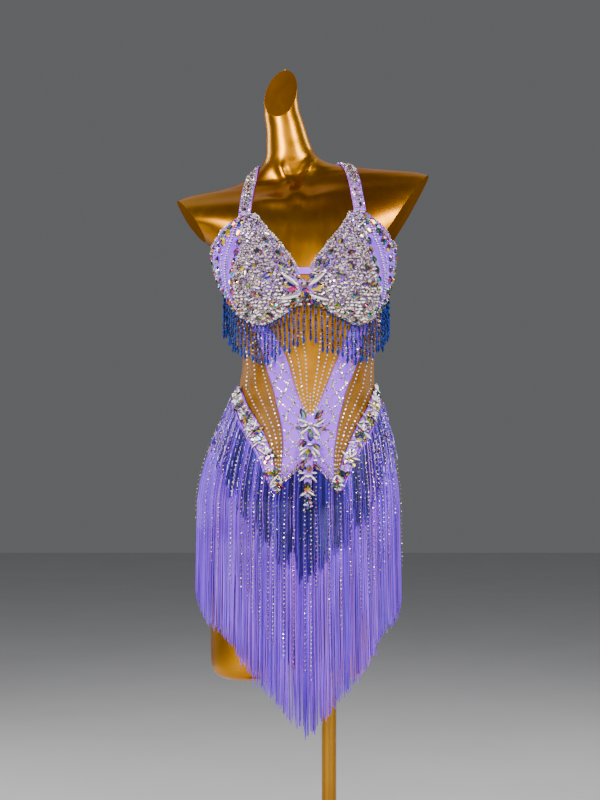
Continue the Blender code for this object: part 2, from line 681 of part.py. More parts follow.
def faces_out(face, axis):
    """Whether a backing's face is one of its outer ones, and not a narrow rim."""
    centre = face.calc_center_median() - axis
    away = Vector((centre.x, centre.y, 0)).normalized()
    return face.normal.dot(away) > 0.5 and face.calc_area() > 1.5e-5


def bridge(angle, height, out):
    """As skin, but it crosses the hollow between the cups in a straight line."""
    point = skin(angle, height, out)
    point.y = min(point.y, skin(BOW_HALF, height, out).y)
    return point


def over_heading(angle, height, out):
    """As skin, but close to the body above the fringe and clear of both fringes below it."""
    close = ON_BODY + LAYER_AIR
    return skin(angle, height, close + (out - close) * (1 - eased(0.908, 0.930, height)))


def make_crystals():
    studded("centre_crystals", lambda h: -column_half(h), column_half, lambda a: COLUMN[0].height,
            lambda a: COLUMN[-1].height, 3, 9, ON_SHORT, 0.0030, over_heading)
    for side, label in ((-1, "left"), (1, "right")):
        start, end = between(lambda h: 17.5, lambda h: CRYSTAL_END, side)
        studded("hip_crystals_" + label, start, end, lambda a: heading_line(a) + 0.0012,
                lambda a: below_hip(a) - 0.0008, 14, 2, ON_SLIP + LAYER_AIR / 2, 0.0030)
    studded("bow_crystals", lambda h: -BOW_HALF, lambda h: BOW_HALF,
            lambda a: 1.1690 + 0.006 * (1 - abs(a) / BOW_HALF),
            lambda a: 1.1880 + 0.012 * abs(a) / BOW_HALF, 4, 2, EASE + CUP_FOAM + 0.002, 0.0030, bridge)


def column_half(height):
    """Half the angle that the centre column of crystals takes."""
    return read(COLUMN, "height", "angle", height)


# ---------------------------------------------------------------- build
for old in list(bpy.data.objects):
    bpy.data.objects.remove(old)
DRESS = bpy.data.collections.new("latin_dance_dress")
CUTTERS = bpy.data.collections.new("joined_shapes")
bpy.context.scene.collection.children.link(DRESS)
bpy.context.scene.collection.children.link(CUTTERS)

form = make_form()
bpy.context.view_layer.update()
FORM = BVHTree.FromObject(form, bpy.context.evaluated_depsgraph_get())
make_stand()
make_cup("cup_left", -1)
make_cup("cup_right", 1)
make_gore()
make_strap("strap_left", -1)
make_strap("strap_right", 1)
make_back_band()
make_body()
make_slip()
make_fringes()
make_crystals()
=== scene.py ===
import random
from bisect import bisect_left
from collections import namedtuple
from functools import lru_cache
from math import asin, atan2, cos, degrees, exp, floor, hypot, pi, radians, sin

import bmesh
import bpy
import numpy as np
from mathutils import Matrix, Vector, noise
from mathutils.bvhtree import BVHTree


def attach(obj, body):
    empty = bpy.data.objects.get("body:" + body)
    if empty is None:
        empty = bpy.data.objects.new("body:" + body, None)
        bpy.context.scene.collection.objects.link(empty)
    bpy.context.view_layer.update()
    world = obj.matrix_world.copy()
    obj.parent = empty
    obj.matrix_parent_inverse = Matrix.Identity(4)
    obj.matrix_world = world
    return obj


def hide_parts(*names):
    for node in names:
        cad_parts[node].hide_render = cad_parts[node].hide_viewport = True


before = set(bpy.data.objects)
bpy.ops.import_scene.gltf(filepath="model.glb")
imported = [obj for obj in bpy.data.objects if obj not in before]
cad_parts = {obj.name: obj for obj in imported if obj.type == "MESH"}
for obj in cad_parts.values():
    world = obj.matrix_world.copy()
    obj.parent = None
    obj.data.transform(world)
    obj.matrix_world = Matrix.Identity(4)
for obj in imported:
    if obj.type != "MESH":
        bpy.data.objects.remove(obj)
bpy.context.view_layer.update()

# ================ the cut, as in the part's source
CLOTH = 0.0012          # stretch cloth and power mesh
STRAP_CLOTH = 0.002     # doubled cloth
CUP_FOAM = 0.004        # moulded cup with its cover
EASE = 0.001            # air between the form and the cloth
SEAM = 0.0004           # gap between two pieces along a seam
LAYER_AIR = 0.001       # air between one layer of fringe and the next
SLIP_EASE = 0.0018      # the slip is cut a little looser
EDGE_GAP = 0.001        # gap between two pieces along a free edge
STRAP_WIDTH = 0.0195
BAND_TOP = 1.207        # the bra's back band: its edges, and the angle at which it leaves the cups
BAND_BOTTOM = 1.174
BAND_START = 87.5
HIP_HEIGHT = 0.82       # below the fullest hip everything hangs straight down
FLARE = 0.02            # how much it leans out as it falls
SLIP_HEM = 0.7
SHOULDER_SPAN = 0.425   # from one arm cut to the other
NECK_TOP_HEIGHT = 1.5165
NECK_CUT = (-0.455, -1.385, 1.0)
ARM_CUT_TOP = 1.356
ARM_CUT_BOTTOM = 1.245
ARM_CUT_SLANT = 0.58    # how far its plane leans in downwards, and turns to the front
ARM_CUT_TURN = 0.2
LOCK_THICK = 0.0021     # a lock of fringe
BASE_RADIUS = 0.19
BASE_THICK = 0.006
POLE_RADIUS = 0.0125
COLLAR_RADIUS = 0.03    # the collars at both ends of the pole
COLLAR_HEIGHT = 0.012
THIGH_BOTTOM = 0.521
THIGH_TOP = 0.76        # where the thighs have run into the form
SEAT_GAP = 0.0003       # gap between the pole and what it stands on or carries

# how far the surface of each thing lies off the form
ON_BODY = EASE + CLOTH
ON_CUP = EASE + CUP_FOAM
ON_SLIP = SLIP_EASE + CLOTH + 1.5 * LAYER_AIR
ON_LONG = ON_SLIP + LOCK_THICK + LAYER_AIR
ON_SHORT = ON_LONG + LOCK_THICK + LAYER_AIR

SIDES = ((-1, "left"), (1, "right"))
UP = Vector((0, 0, 1))
MEAN_RADIUS = 0.118     # of the body, to turn angles into distances on its cloth


def rows_of(kind, *rows):
    """A table with named columns, from plain rows."""
    return tuple(kind(*row) for row in rows)


Section = namedtuple("Section", "height centre_x centre_y half_width front back turn")
BODY = rows_of(
    Section,
    (0.7, -0.056, 0.008, 0.07, 0.04, 0.05, 5),
    (0.712, -0.056, 0.008, 0.12, 0.068, 0.078, 5),
    (0.735, -0.055, 0.006, 0.15, 0.085, 0.097, 5),
    (0.77, -0.0535, 0.004, 0.163, 0.092, 0.108, 5),
    (0.82, -0.052, 0.002, 0.1657, 0.096, 0.116, 5),
    (0.87, -0.0503, 0.0, 0.158, 0.096, 0.112, 5),
    (0.92, -0.0462, 0.0, 0.1455, 0.093, 0.1, 5),
    (0.97, -0.0415, 0.0, 0.127, 0.088, 0.087, 4),
    (1.015, -0.0375, 0.0, 0.1125, 0.083, 0.079, 3),
    (1.05, -0.035, 0.0, 0.109, 0.082, 0.077, 3),
    (1.08, -0.0335, 0.0, 0.111, 0.085, 0.078, 2),
    (1.115, -0.0345, 0.0, 0.119, 0.091, 0.082, 1),
    (1.15, -0.037, 0.0, 0.127, 0.094, 0.087, 0),
    (1.186, -0.0405, 0.0, 0.141, 0.096, 0.091, 0),
    (1.22, -0.0425, 0.0, 0.15, 0.096, 0.094, 0),
    (1.245, -0.043, 0.0, 0.156, 0.095, 0.094, 0),
    (1.275, -0.0435, 0.003, 0.19, 0.091, 0.091, 0),
    (1.305, -0.044, 0.008, 0.222, 0.082, 0.086, 0),
    (1.332, -0.044, 0.014, 0.228, 0.067, 0.075, 0),
    (1.348, -0.044, 0.02, 0.222, 0.053, 0.062, 0),
    (1.358, -0.045, 0.023, 0.2, 0.046, 0.054, 0),
    (1.366, -0.048, 0.026, 0.152, 0.042, 0.048, 0),
    (1.374, -0.058, 0.028, 0.102, 0.04, 0.045, 0),
    (1.383, -0.0665, 0.029, 0.0715, 0.04, 0.043, 0),
    (1.392, -0.0685, 0.029, 0.057, 0.04, 0.042, 0),
    (1.402, -0.068, 0.028, 0.0465, 0.04, 0.041, 0),
    (1.416, -0.0685, 0.027, 0.0395, 0.039, 0.04, 0),
    (1.432, -0.071, 0.026, 0.036, 0.037, 0.038, 0),
    (1.458, -0.075, 0.024, 0.0322, 0.035, 0.036, 0),
    (1.484, -0.0806, 0.023, 0.0298, 0.033, 0.034, 0),
    (1.512, -0.0822, 0.022, 0.0284, 0.032, 0.033, 0),
    (1.545, -0.082, 0.021, 0.0275, 0.031, 0.032, 0),
    (1.6, -0.079, 0.02, 0.0265, 0.03, 0.031, 0),
)
SHOULDER_TILT = 0.1     # the +X shoulder stands higher
NECK_TILT = 0.11        # and more so beside the neck
TILT_FROM, TILT_TO = 1.26, 1.36
BUST_MOUND = 0.034      # how far each breast swells, how wide, and where its middle is
MOUND_SPREAD = 0.056
MOUND_ACROSS = 0.074
MOUND_HEIGHT = 1.188
MOUND_SIDEWAYS = 0.3    # part of the swell that goes sideways

Thigh = namedtuple("Thigh", "height centre_x centre_y half_width half_depth")
LEFT_THIGH = rows_of(
    Thigh,
    (THIGH_BOTTOM, -0.134, -0.004, 0.048, 0.05),
    (THIGH_BOTTOM + 0.007, -0.134, -0.004, 0.059, 0.061),
    (THIGH_BOTTOM + 0.022, -0.134, -0.004, 0.0655, 0.068),
    (0.6, -0.132, -0.002, 0.069, 0.073),
    (0.68, -0.1285, 0.002, 0.073, 0.08),
    (THIGH_TOP, -0.124, 0.006, 0.072, 0.084),
)
RIGHT_THIGH = rows_of(
    Thigh,
    (THIGH_BOTTOM, 0.0, 0.0, 0.048, 0.05),
    (THIGH_BOTTOM + 0.007, 0.0, 0.0, 0.059, 0.061),
    (THIGH_BOTTOM + 0.022, 0.0, 0.0, 0.0655, 0.068),
    (0.6, 0.005, 0.002, 0.071, 0.073),
    (0.68, 0.013, 0.005, 0.074, 0.08),
    (THIGH_TOP, 0.02, 0.008, 0.073, 0.084),
)

# ---------------- lines of the cut
Line = namedtuple("Line", "angle height")
Edge = namedtuple("Edge", "height angle")
# lower edge of the bra, from centre front round to centre back
BRA_EDGE = rows_of(
    Line,
    (0, 1.158), (6, 1.151), (16, 1.137), (27, 1.125), (38, 1.117), (47, 1.12), (58, 1.13), (68, 1.141),
    (78, 1.152), (88, 1.1725), (100, BAND_BOTTOM), (180, BAND_BOTTOM),
)
# hip seam: where the body ends and the fringe begins, a W across the front
HIP_SEAM = rows_of(
    Line,
    (0, 0.899), (7, 0.88), (16, 0.856), (23, 0.9), (31, 0.934), (41, 0.959), (55, 0.983),
    (70, 1.004), (90, 1.016), (130, 1.016), (180, 1.012),
)
# the heading of the fringe: along the hip seam in the middle, under the crystals at the sides
HEADING = rows_of(
    Line,
    (0, 0.898), (7, 0.879), (16, 0.8545), (19.5, 0.846), (24, 0.864), (31, 0.898), (41, 0.926),
    (55, 0.954), (70, 0.98), (80, 0.996), (90, 1.008), (100, 1.014), (130, 1.014), (180, 1.01),
)
# hems, in the same way
LONG_HEM = rows_of(
    Line,
    (0, 0.442), (11, 0.475), (23.5, 0.516), (35.5, 0.553), (45.5, 0.591), (52.5, 0.61), (65, 0.622),
    (76, 0.644), (90, 0.664), (120, 0.662), (180, 0.64),
)
SHORT_HEM = rows_of(
    Line,
    (0, 0.695), (13, 0.735), (24, 0.76), (35, 0.795), (44, 0.835), (60, 0.89), (80, 0.92),
    (90, 0.925),
)
SHORT_END = 84          # the short fringe goes round to this angle on either side
BEAD_END = 112          # and the strands of beads to this one
BEAD_LENGTH = 0.054
# half the angle that the centre column takes, from its foot to its head
COLUMN = rows_of(Edge, (0.812, 2.0), (0.84, 5.5), (0.88, 9.2), (0.945, 11.5), (0.98, 6.5))
BOW_HALF = 13           # half the angle that the ornament between the cups takes
CRYSTAL_START = 19.0    # the crystals at a hip, from their angle at the front to the one at the side
CRYSTAL_END = 80
MESH_APEX = 0.96        # the lowest point of the front net
# both edges of the lilac V band, from the hip seam up to the bra
V_INNER = rows_of(
    Edge,
    (0.84, 0.15), (MESH_APEX - 0.002, 0.15), (MESH_APEX + 0.003, 1.4), (1.0, 10.5), (1.055, 21.5),
    (1.115, 34.0), (1.18, 45.0),
)
V_OUTER = rows_of(
    Edge,
    (0.84, 16.0), (0.898, 16.2), (0.938, 18.7), (1.0, 30.0), (1.061, 45.5), (1.115, 51.0),
    (1.18, 56.0),
)
SIDE_SEAM = 90
SEAM_ANGLE = 0.12       # half a seam gap, as an angle
HIP_HALF = 0.1795       # half the width at the hips on which the chains of stones hang
STRAP_LENGTH = 0.36

# the left and right cup share one outline, mirrored: from the gore, up the neckline, round
CUP_OUTLINE = rows_of(
    Line,
    (2.6, 1.165), (3.0, 1.186), (4.2, 1.208), (7.0, 1.223), (11.5, 1.239), (16.5, 1.261),
    (19.5, 1.283), (21.0, 1.299), (26.4, 1.299), (33.0, 1.29), (44.0, 1.275), (57.0, 1.26),
    (74.0, 1.248), (84.0, 1.228), (86.5, 1.206), (86.0, 1.186), (84.0, 1.166), (78.0, 1.1524),
    (68.0, 1.1414), (58.0, 1.1304), (47.0, 1.1204), (38.0, 1.1174), (27.0, 1.1254), (16.0, 1.1374),
    (6.0, 1.1514),
)
StrapPoint = namedtuple("StrapPoint", "share left right")
# distance from the shoulders' middle along the way from front to back
STRAP_LINE = rows_of(
    StrapPoint,
    (0.0, 0.0965, 0.095), (0.2, 0.0912, 0.084), (0.33, 0.0868, 0.0765), (0.43, 0.0835, 0.0715),
    (0.6, 0.069, 0.06), (1.0, 0.048, 0.048),
)
STRAP_FOOT = 1.301      # where a strap leaves its cup
STRAP_FAN = 1.345       # height of the axis round which it turns over the shoulder
STRAP_FAN_Y = 0.022
CUP_CENTRE = Line(36.0, 1.195)


# ---------------- small tools
def curve(xs, ys):
    """A smooth curve through the points that never overshoots them, as a function."""
    slopes = [(y1 - y0) / (x1 - x0) for x0, x1, y0, y1 in zip(xs, xs[1:], ys, ys[1:])]
    tangents = [slopes[0]]
    for before, after in zip(slopes, slopes[1:]):
        rising = before * after > 0
        tangents.append(2 * before * after / (before + after) if rising else 0.0)
    tangents.append(slopes[-1])

    def value(at):
        if at <= xs[0]:
            return ys[0]
        if at >= xs[-1]:
            return ys[-1]
        k = bisect_left(xs, at) - 1
        width = xs[k + 1] - xs[k]
        t = (at - xs[k]) / width
        return (ys[k] * (1 + 2 * t) * (1 - t) ** 2 + ys[k + 1] * t * t * (3 - 2 * t)
                + width * t * (1 - t) * (tangents[k] * (1 - t) - tangents[k + 1] * t))
    return value


@lru_cache(maxsize=None)
def table_curve(table, key, column):
    """One column of a table over another, as a smooth curve."""
    return curve([getattr(row, key) for row in table], [getattr(row, column) for row in table])


def read(table, key, column, at):
    return table_curve(table, key, column)(at)


def girth(column, height):
    """A measure of the body's section at a height."""
    return read(BODY, "height", column, height)


def line_height(line, angle):
    """Height of a cut line at an angle on either side of the centre front."""
    return read(line, "angle", "height", abs((angle + 180) % 360 - 180))


def eased(low, high, at):
    """0 up to low, 1 from high on, and a smooth rise between them."""
    t = min(1.0, max(0.0, (at - low) / (high - low)))
    return t * t * (3 - 2 * t)


# ---------------- the body's surface
def tilt(height, across):
    """How much higher a point stands because the shoulders lean."""
    lean = SHOULDER_TILT * eased(TILT_FROM, TILT_TO, height)
    lean += NECK_TILT * exp(-(across / 0.12) ** 2) * eased(TILT_TO - 0.04, TILT_TO + 0.01, height)
    return lean * across


def section_point(angle, height):
    """Point of the form's surface. The sections are two half ellipses, turned a little."""
    turned = radians(angle + girth("turn", height))
    forward = cos(turned)
    depth = girth("front" if forward > 0 else "back", height)
    centre_x = girth("centre_x", height)
    x = centre_x + girth("half_width", height) * sin(turned)
    y = girth("centre_y", height) - depth * forward
    if forward > 0:
        for side in (-1, 1):
            across = x - centre_x - side * MOUND_ACROSS
            reach = (across ** 2 + (height - MOUND_HEIGHT) ** 2) / MOUND_SPREAD ** 2
            swell = BUST_MOUND * exp(-reach) * min(1.0, 2 * forward)
            x += side * MOUND_SIDEWAYS * swell
            y -= swell
    return Vector((x, y, height + tilt(height, x - centre_x)))


def skin(angle, height, out=0.0):
    """Point at a distance out from the form, along its normal."""
    here = section_point(angle, height)
    if not out:
        return here
    around = section_point(angle + 1, height) - section_point(angle - 1, height)
    up = section_point(angle, height + 0.002) - section_point(angle, height - 0.002)
    return here + around.cross(up).normalized() * out


def hang(angle, height, out, leaves=HIP_HEIGHT):
    """As skin, but what lies below the height where it leaves the body falls almost straight."""
    if height >= leaves:
        return skin(angle, height, out)
    point = skin(angle, leaves, out)
    away = Vector((point.x - girth("centre_x", leaves), point.y, 0)).normalized()
    return point + away * FLARE * (leaves - height) + Vector((0, 0, height - leaves))


def gore_half(height):
    """Half the angle between the cups, less a seam's gap."""
    return 3.6 + (height - 1.202) * 80


def edge_angle(edge, height, moved=0.0):
    """Angle of a seam at a height, moved sideways by a real distance."""
    angle = read(edge, "height", "angle", height)
    return angle + degrees(moved / girth("half_width", height))


# ================ finishes
class Reading:
    """A number that varies over a surface. Arithmetic on it adds Math nodes to its finish."""

    def __init__(self, finish, socket):
        self.finish, self.socket = finish, socket

    def math(self, operation, *values):
        made = self.finish.node("Math", {"operation": operation}, dict(enumerate(values)))
        return Reading(self.finish, made.outputs[0])

    def __add__(self, other):
        return self.math("ADD", self, other)

    def __sub__(self, other):
        return self.math("SUBTRACT", self, other)

    def __rsub__(self, other):
        return self.math("SUBTRACT", other, self)

    def __mul__(self, other):
        return self.math("MULTIPLY", self, other)

    __radd__, __rmul__ = __add__, __mul__

    def between(self, low, high):
        """0 below low, 1 above high, and a smooth rise between them."""
        made = self.finish.node("MapRange", {"interpolation_type": "SMOOTHSTEP"},
                                {"Value": self, "From Min": low, "From Max": high})
        return Reading(self.finish, made.outputs[0])


class Finish:
    """A material. What is the same all over is set on the shader by name."""

    def __init__(self, name, colour, roughness, **others):
        self.material = bpy.data.materials.new(name)
        self.material.use_nodes = True
        self.tree = self.material.node_tree
        self.shader = self.tree.nodes["Principled BSDF"]
        self.put(self.shader, {"Base Color": colour, "Roughness": roughness})
        self.put(self.shader, {key.replace("_", " "): value for key, value in others.items()})

    def put(self, node, values):
        """Sets or links a node's sockets, by name or by place."""
        for key, value in values.items():
            socket = node.inputs[key]
            if isinstance(value, Reading):
                self.tree.links.new(value.socket, socket)
            elif isinstance(value, bpy.types.NodeSocket):
                self.tree.links.new(value, socket)
            elif isinstance(value, tuple) and socket.type == "RGBA":
                socket.default_value = (*value, 1)[:4]
            else:
                socket.default_value = value
        return node

    def node(self, kind, settings=None, values=None):
        """Adds a node, sets its settings and then its sockets."""
        made = self.tree.nodes.new("ShaderNode" + kind)
        for key, value in (settings or {}).items():
            if key == "stops":
                ramp = made.color_ramp.elements
                while len(ramp) < len(value):
                    ramp.new(0.5)
                for stop, (at, colour) in zip(ramp, value):
                    stop.position, stop.color = at, (*colour, 1)
            else:
                setattr(made, key, value)
        return self.put(made, values or {})

    def read(self, socket):
        return Reading(self, socket)

    def place(self, scale=(1, 1, 1), source="Object"):
        """Coordinates on the piece, scaled."""
        found = self.node("TexCoord").outputs[source]
        return self.node("Mapping", None, {"Vector": found, "Scale": scale}).outputs[0]

    def speckle(self, scale, detail=2.0, at=None):
        """Cloudy variation from 0 to 1."""
        values = {"Vector": at or self.place(), "Scale": scale, "Detail": detail}
        return self.read(self.node("TexNoise", None, values).outputs[0])

    def waves(self, direction, at, scale, distortion, **others):
        """Even bands across a direction, from 0 to 1."""
        values = {"Vector": at, "Scale": scale, "Distortion": distortion}
        values.update({key.replace("_", " "): value for key, value in others.items()})
        made = self.node("TexWave", {"wave_profile": "SIN", "bands_direction": direction}, values)
        return self.read(made.outputs[1])

    def rough(self, value):
        self.put(self.shader, {"Roughness": value})

    def mixed(self, share, first, second, blend="MIX"):
        made = self.node("Mix", {"data_type": "RGBA", "blend_type": blend}, {0: share, 6: first, 7: second})
        return made.outputs[2]

    def tint(self):
        """The colour that each small piece was given."""
        return self.node("Attribute", {"attribute_name": "tint"}).outputs["Color"]

    def colour(self, value):
        self.put(self.shader, {"Base Color": value})

    def raised(self, height, distance, strength=1.0):
        made = self.node("Bump", None, {"Strength": strength, "Distance": distance, "Height": height})
        self.put(self.shader, {"Normal": made.outputs[0]})


def lacquer(name, deep, bright, roughness, coat, metallic=1.0, shine=0.5):
    """Gold lacquer over moulded fibreglass: cloudy tone, faint ripples, fine wipe marks."""
    finish = Finish(name, bright, roughness, Metallic=metallic, Coat_Weight=coat, Coat_Roughness=0.05,
                    Specular_IOR_Level=shine)
    cloud = finish.speckle(5.0, 3.0)
    finish.colour(finish.mixed(cloud.between(0.3, 0.7), deep, bright))
    wiped = finish.speckle(1.0, 4.0, finish.place((90, 90, 9)))
    finish.rough(wiped.between(0.35, 0.75) * 0.04 + (roughness - 0.02))
    finish.raised(finish.speckle(14.0, 1.0), 0.001, 0.35)
    return finish


def knit(name, dark, light, roughness, sheen=0.06, rib=0.00045, coat=0.0, shine=0.3):
    """Stretch cloth: fine knitted ribs along its length, from a UV map in metres."""
    finish = Finish(name, light, roughness, Sheen_Weight=sheen, Sheen_Roughness=0.4, Coat_Weight=coat,
                    Coat_Roughness=0.4, Specular_IOR_Level=shine)
    along = finish.place((1 / rib, 0.6 / rib, 1), "UV")
    ribs = finish.waves("X", along, 0.314, 0.6, Detail=1.0)
    loops = finish.waves("Y", along, 0.314, 0.4)
    weave = ribs * 0.65 + loops * 0.35
    cloud = finish.speckle(38.0, 3.0)
    # the colour is darker in the grooves between ribs and loops as painted shade, and varies in clouds as
    # the cloth's own uneven tone
    shade = weave * 0.35 + cloud.between(0.3, 0.7) * 0.65
    finish.colour(finish.mixed(shade, dark, light))
    finish.rough(cloud * 0.12 + (roughness - 0.06))
    finish.raised(weave, 0.00012, 0.6)
    return finish


def power_mesh(name, dark, light, alpha):
    """Sheer power mesh: an even net of round holes between fine yarns."""
    finish = knit(name, dark, light, 0.46, 0.01, 0.0009, shine=0.15)
    net = finish.node("TexVoronoi", {"feature": "DISTANCE_TO_EDGE"},
                      {"Vector": finish.place((1, 1, 1), "UV"), "Scale": 1100.0, "Randomness": 0.15})
    yarn = 1 - finish.read(net.outputs[0]).between(0.02, 0.3)
    finish.put(finish.shader, {"Alpha": yarn * (1 - alpha) + alpha})
    return finish


def thread(name, roughness):
    """Fringe yarn: each strand has its own tint, with a fine twist."""
    finish = Finish(name, (0.5, 0.5, 0.5), roughness, Sheen_Weight=0.04, Sheen_Roughness=0.35,
                    Specular_IOR_Level=0.35)
    twist = finish.waves("Z", finish.place(), 240.0, 2.0, Detail=1.0, Detail_Scale=3.0)
    cloud = finish.speckle(60.0, 2.0, finish.place((1, 1, 0.15)))
    # darker in the grooves of the twist as painted shade, and in cloudy patches as the yarn's own uneven
    # tone
    shade = twist * 0.25 + cloud.between(0.3, 0.7) * 0.75
    groove_shade_and_tone = finish.mixed(1.0, finish.tint(), (0.55, 0.55, 0.55 * 1.06), "MULTIPLY")
    finish.colour(finish.mixed(shade, groove_shade_and_tone, finish.tint()))
    finish.rough(cloud * 0.15 + (roughness - 0.08))
    finish.raised(twist, 0.0002, 0.5)
    return finish


def cut_glass(name, roughness, metallic):
    """Foiled stones: a tint for each facet. The coloured ones mirror more than the clear."""
    finish = Finish(name, (0.8, 0.8, 0.8), roughness, Coat_Weight=0.35, Coat_Roughness=0.02)
    cloud = finish.speckle(420.0, 1.0)
    richness = finish.read(finish.node("SeparateColor", {"mode": "HSV"}, {0: finish.tint()}).outputs[1])
    # faint whitish flecks over the stones are painted glints
    finish.colour(finish.mixed(cloud.between(0.5, 0.66) * 0.1, finish.tint(), (0.95, 0.96, 1.0)))
    finish.put(finish.shader, {"Roughness": cloud * 0.06 + roughness,
                               "Metallic": richness.between(0.35, 0.7) * 0.35 + metallic})
    return finish


def nacre(name):
    """Pearl: creamy white, with a pink and a green cast that change over it."""
    finish = Finish(name, (0.8, 0.78, 0.76), 0.22, Metallic=0.12, Coat_Weight=0.9, Coat_Roughness=0.08)
    cloud = finish.speckle(260.0, 2.0)
    cast = finish.node("ValToRGB", {"stops": ((0.3, (0.92, 0.8, 0.88)), (0.5, (1.0, 0.98, 0.95)),
                                              (0.7, (0.84, 0.9, 0.92)))}, {0: cloud}).outputs[0]
    finish.colour(finish.mixed(1.0, finish.tint(), cast, "MULTIPLY"))
    finish.rough(cloud * 0.1 + 0.16)
    return finish


def glass_bead(name):
    """Royal blue glass seeds, with lighter blue flecks painted over them as glints."""
    finish = Finish(name, (0.02, 0.07, 0.4), 0.3, Specular_IOR_Level=0.12)
    cloud = finish.speckle(500.0, 1.0)
    finish.colour(finish.mixed(cloud.between(0.58, 0.75) * 0.2, finish.tint(), (0.08, 0.18, 0.6)))
    finish.rough(cloud * 0.1 + 0.28)
    return finish


FORM_GOLD = lacquer("form_gold", (0.43, 0.142, 0.002), (0.59, 0.25, 0.004), 0.31, 0.02)
CUT_GOLD = lacquer("cut_gold", (0.5, 0.17, 0.002), (0.62, 0.23, 0.003), 0.4, 0.05)
# the arm cuts' gold is darkened to a matte brown: painted shade on the cut faces
SHADED_ARM_CUT_GOLD = lacquer("arm_cut_painted_shade", (0.07, 0.024, 0.0008), (0.11, 0.042, 0.001), 0.6, 0.0, 0.0, 0.0)
STAND_GOLD = lacquer("stand_gold", (0.4, 0.17, 0.01), (0.55, 0.26, 0.02), 0.32, 0.15)
BASE_GOLD = lacquer("base_gold", (0.42, 0.18, 0.01), (0.58, 0.28, 0.02), 0.34, 0.15)
LILAC_CLOTH = knit("lilac_cloth", (0.26, 0.04, 0.86), (0.38, 0.07, 1.0), 0.5)
CUP_CLOTH = knit("cup_cloth", (0.23, 0.04, 0.86), (0.34, 0.068, 1.0), 0.42, coat=0.04)
BAND_CLOTH = knit("band_cloth", (0.31, 0.07, 0.78), (0.45, 0.13, 1.0), 0.48)
TAN_MESH = power_mesh("tan_mesh", (0.29, 0.108, 0.001), (0.49, 0.195, 0.002), 0.66)
# the side nets are the same power mesh as the front, darkened as painted shade where the body turns away
# from the lamps
SHADED_SIDE_MESH = power_mesh("side_mesh", (0.165, 0.06, 0.001), (0.285, 0.11, 0.002), 0.66)
ROYAL_TAPE = knit("royal_tape", (0.004, 0.016, 0.12), (0.01, 0.036, 0.24), 0.5, 0.02)
LILAC_YARN = thread("lilac_yarn", 0.48)
INDIGO_YARN = thread("indigo_yarn", 0.42)
SEWING = thread("sewing_thread", 0.55)
STONE = cut_glass("cut_stone", 0.08, 0.42)
PEARL = nacre("pearl")
SEED_BEAD = glass_bead("seed_bead")

# ================ making pieces
def linked(name, data):
    """A new object in the scene."""
    made = bpy.data.objects.new(name, data)
    bpy.context.scene.collection.objects.link(made)
    return made


def mesh_of(name, bm):
    """A mesh from a bmesh, which ends here."""
    mesh = bpy.data.meshes.new(name)
    bm.to_mesh(mesh)
    bm.free()
    return mesh


def settle(name, mesh, finishes, nodes, sharp=35):
    """Makes the mesh a piece of the dress: it rides, has its finish and stands for its solids."""
    made = linked(name, mesh)
    for finish in finishes if isinstance(finishes, (list, tuple)) else [finishes]:
        mesh.materials.append(finish.material)
    if sharp:
        mesh.shade_smooth()
        mesh.set_sharp_from_angle(angle=radians(sharp))
    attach(made, "root")
    if nodes:
        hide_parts(*nodes)
    return made


def piece(name, bm, finishes, slot, *nodes, sharp=35):
    return settle(name, mesh_of(name, bm), finishes, nodes, sharp)


def walled(made, thickness):
    """Gives a sheet its thickness, built outwards."""
    wall = made.modifiers.new("wall", "SOLIDIFY")
    wall.thickness = thickness
    wall.offset = 1


def grid(columns, rows, place, around=False, flat=None):
    """A surface from a flat grid: place gives the point at a share across and a share up, and
    flat the cloth's own measure there, in metres, for its weave."""
    bm = bmesh.new()
    weave = bm.loops.layers.uv.new("weave")
    bmesh.ops.create_grid(bm, x_segments=columns, y_segments=rows, size=0.5)
    shares = {vert: (vert.co.x + 0.5, vert.co.y + 0.5) for vert in bm.verts}
    for face in bm.faces:
        for loop in face.loops:
            across, up = shares[loop.vert]
            loop[weave].uv = flat(across, up) if flat else (across, up)
    for vert, (across, up) in shares.items():
        vert.co = place(across, up)
    if around:
        bmesh.ops.remove_doubles(bm, verts=bm.verts, dist=1e-6)
    return bm


def tube(columns, rows, path, radius):
    """A tube round a path of (point, one side, other side)."""
    def place(across, up):
        point, side, other = path(up)
        turn = 2 * pi * across
        return point + (side * cos(turn) + other * sin(turn)) * radius
    return grid(columns, rows, place, around=True)


Spot = namedtuple("Spot", "place normal across up")


def turn_of(run, spot):
    """The angle at which a run lies on the surface at a spot, from across towards up."""
    return degrees(atan2(run.dot(spot.up), run.dot(spot.across)))


def on_body(angle, height, out):
    """A place on the body or on what lies on it, with its directions."""
    here = section_point(angle, height)
    across = (section_point(angle + 1, height) - section_point(angle - 1, height)).normalized()
    up = section_point(angle, height + 0.002) - section_point(angle, height - 0.002)
    normal = across.cross(up).normalized()
    return Spot(here + normal * out, normal, across, normal.cross(across))


def on_fall(angle, height, out, leaves=HIP_HEIGHT):
    """A place on what hangs from the hips or from the bra."""
    if height >= leaves:
        return on_body(angle, height, out)
    place = hang(angle, height, out, leaves)
    normal = Vector((place.x - girth("centre_x", leaves), place.y, 0)).normalized()
    across = UP.cross(normal)
    return Spot(place, normal, across, UP)


def seen_at(across, height, out, on=on_body):
    """The angle and height of the place that a front view shows at these measures, in metres."""
    angle = 0.0
    level = height
    for _ in range(14):
        spot = on(angle, level, out).place
        nearer = (CAMERA_FAR + spot.y) / CAMERA_FAR
        want_x = EYE.x + (across - EYE.x) * nearer
        want_z = EYE.z + (height - EYE.z) * nearer
        half = girth("half_width", level) + out
        angle += degrees((want_x - spot.x) / half) * 0.8
        angle = max(-100.0, min(100.0, angle))
        level += (want_z - spot.z) * 0.9
    return angle, level


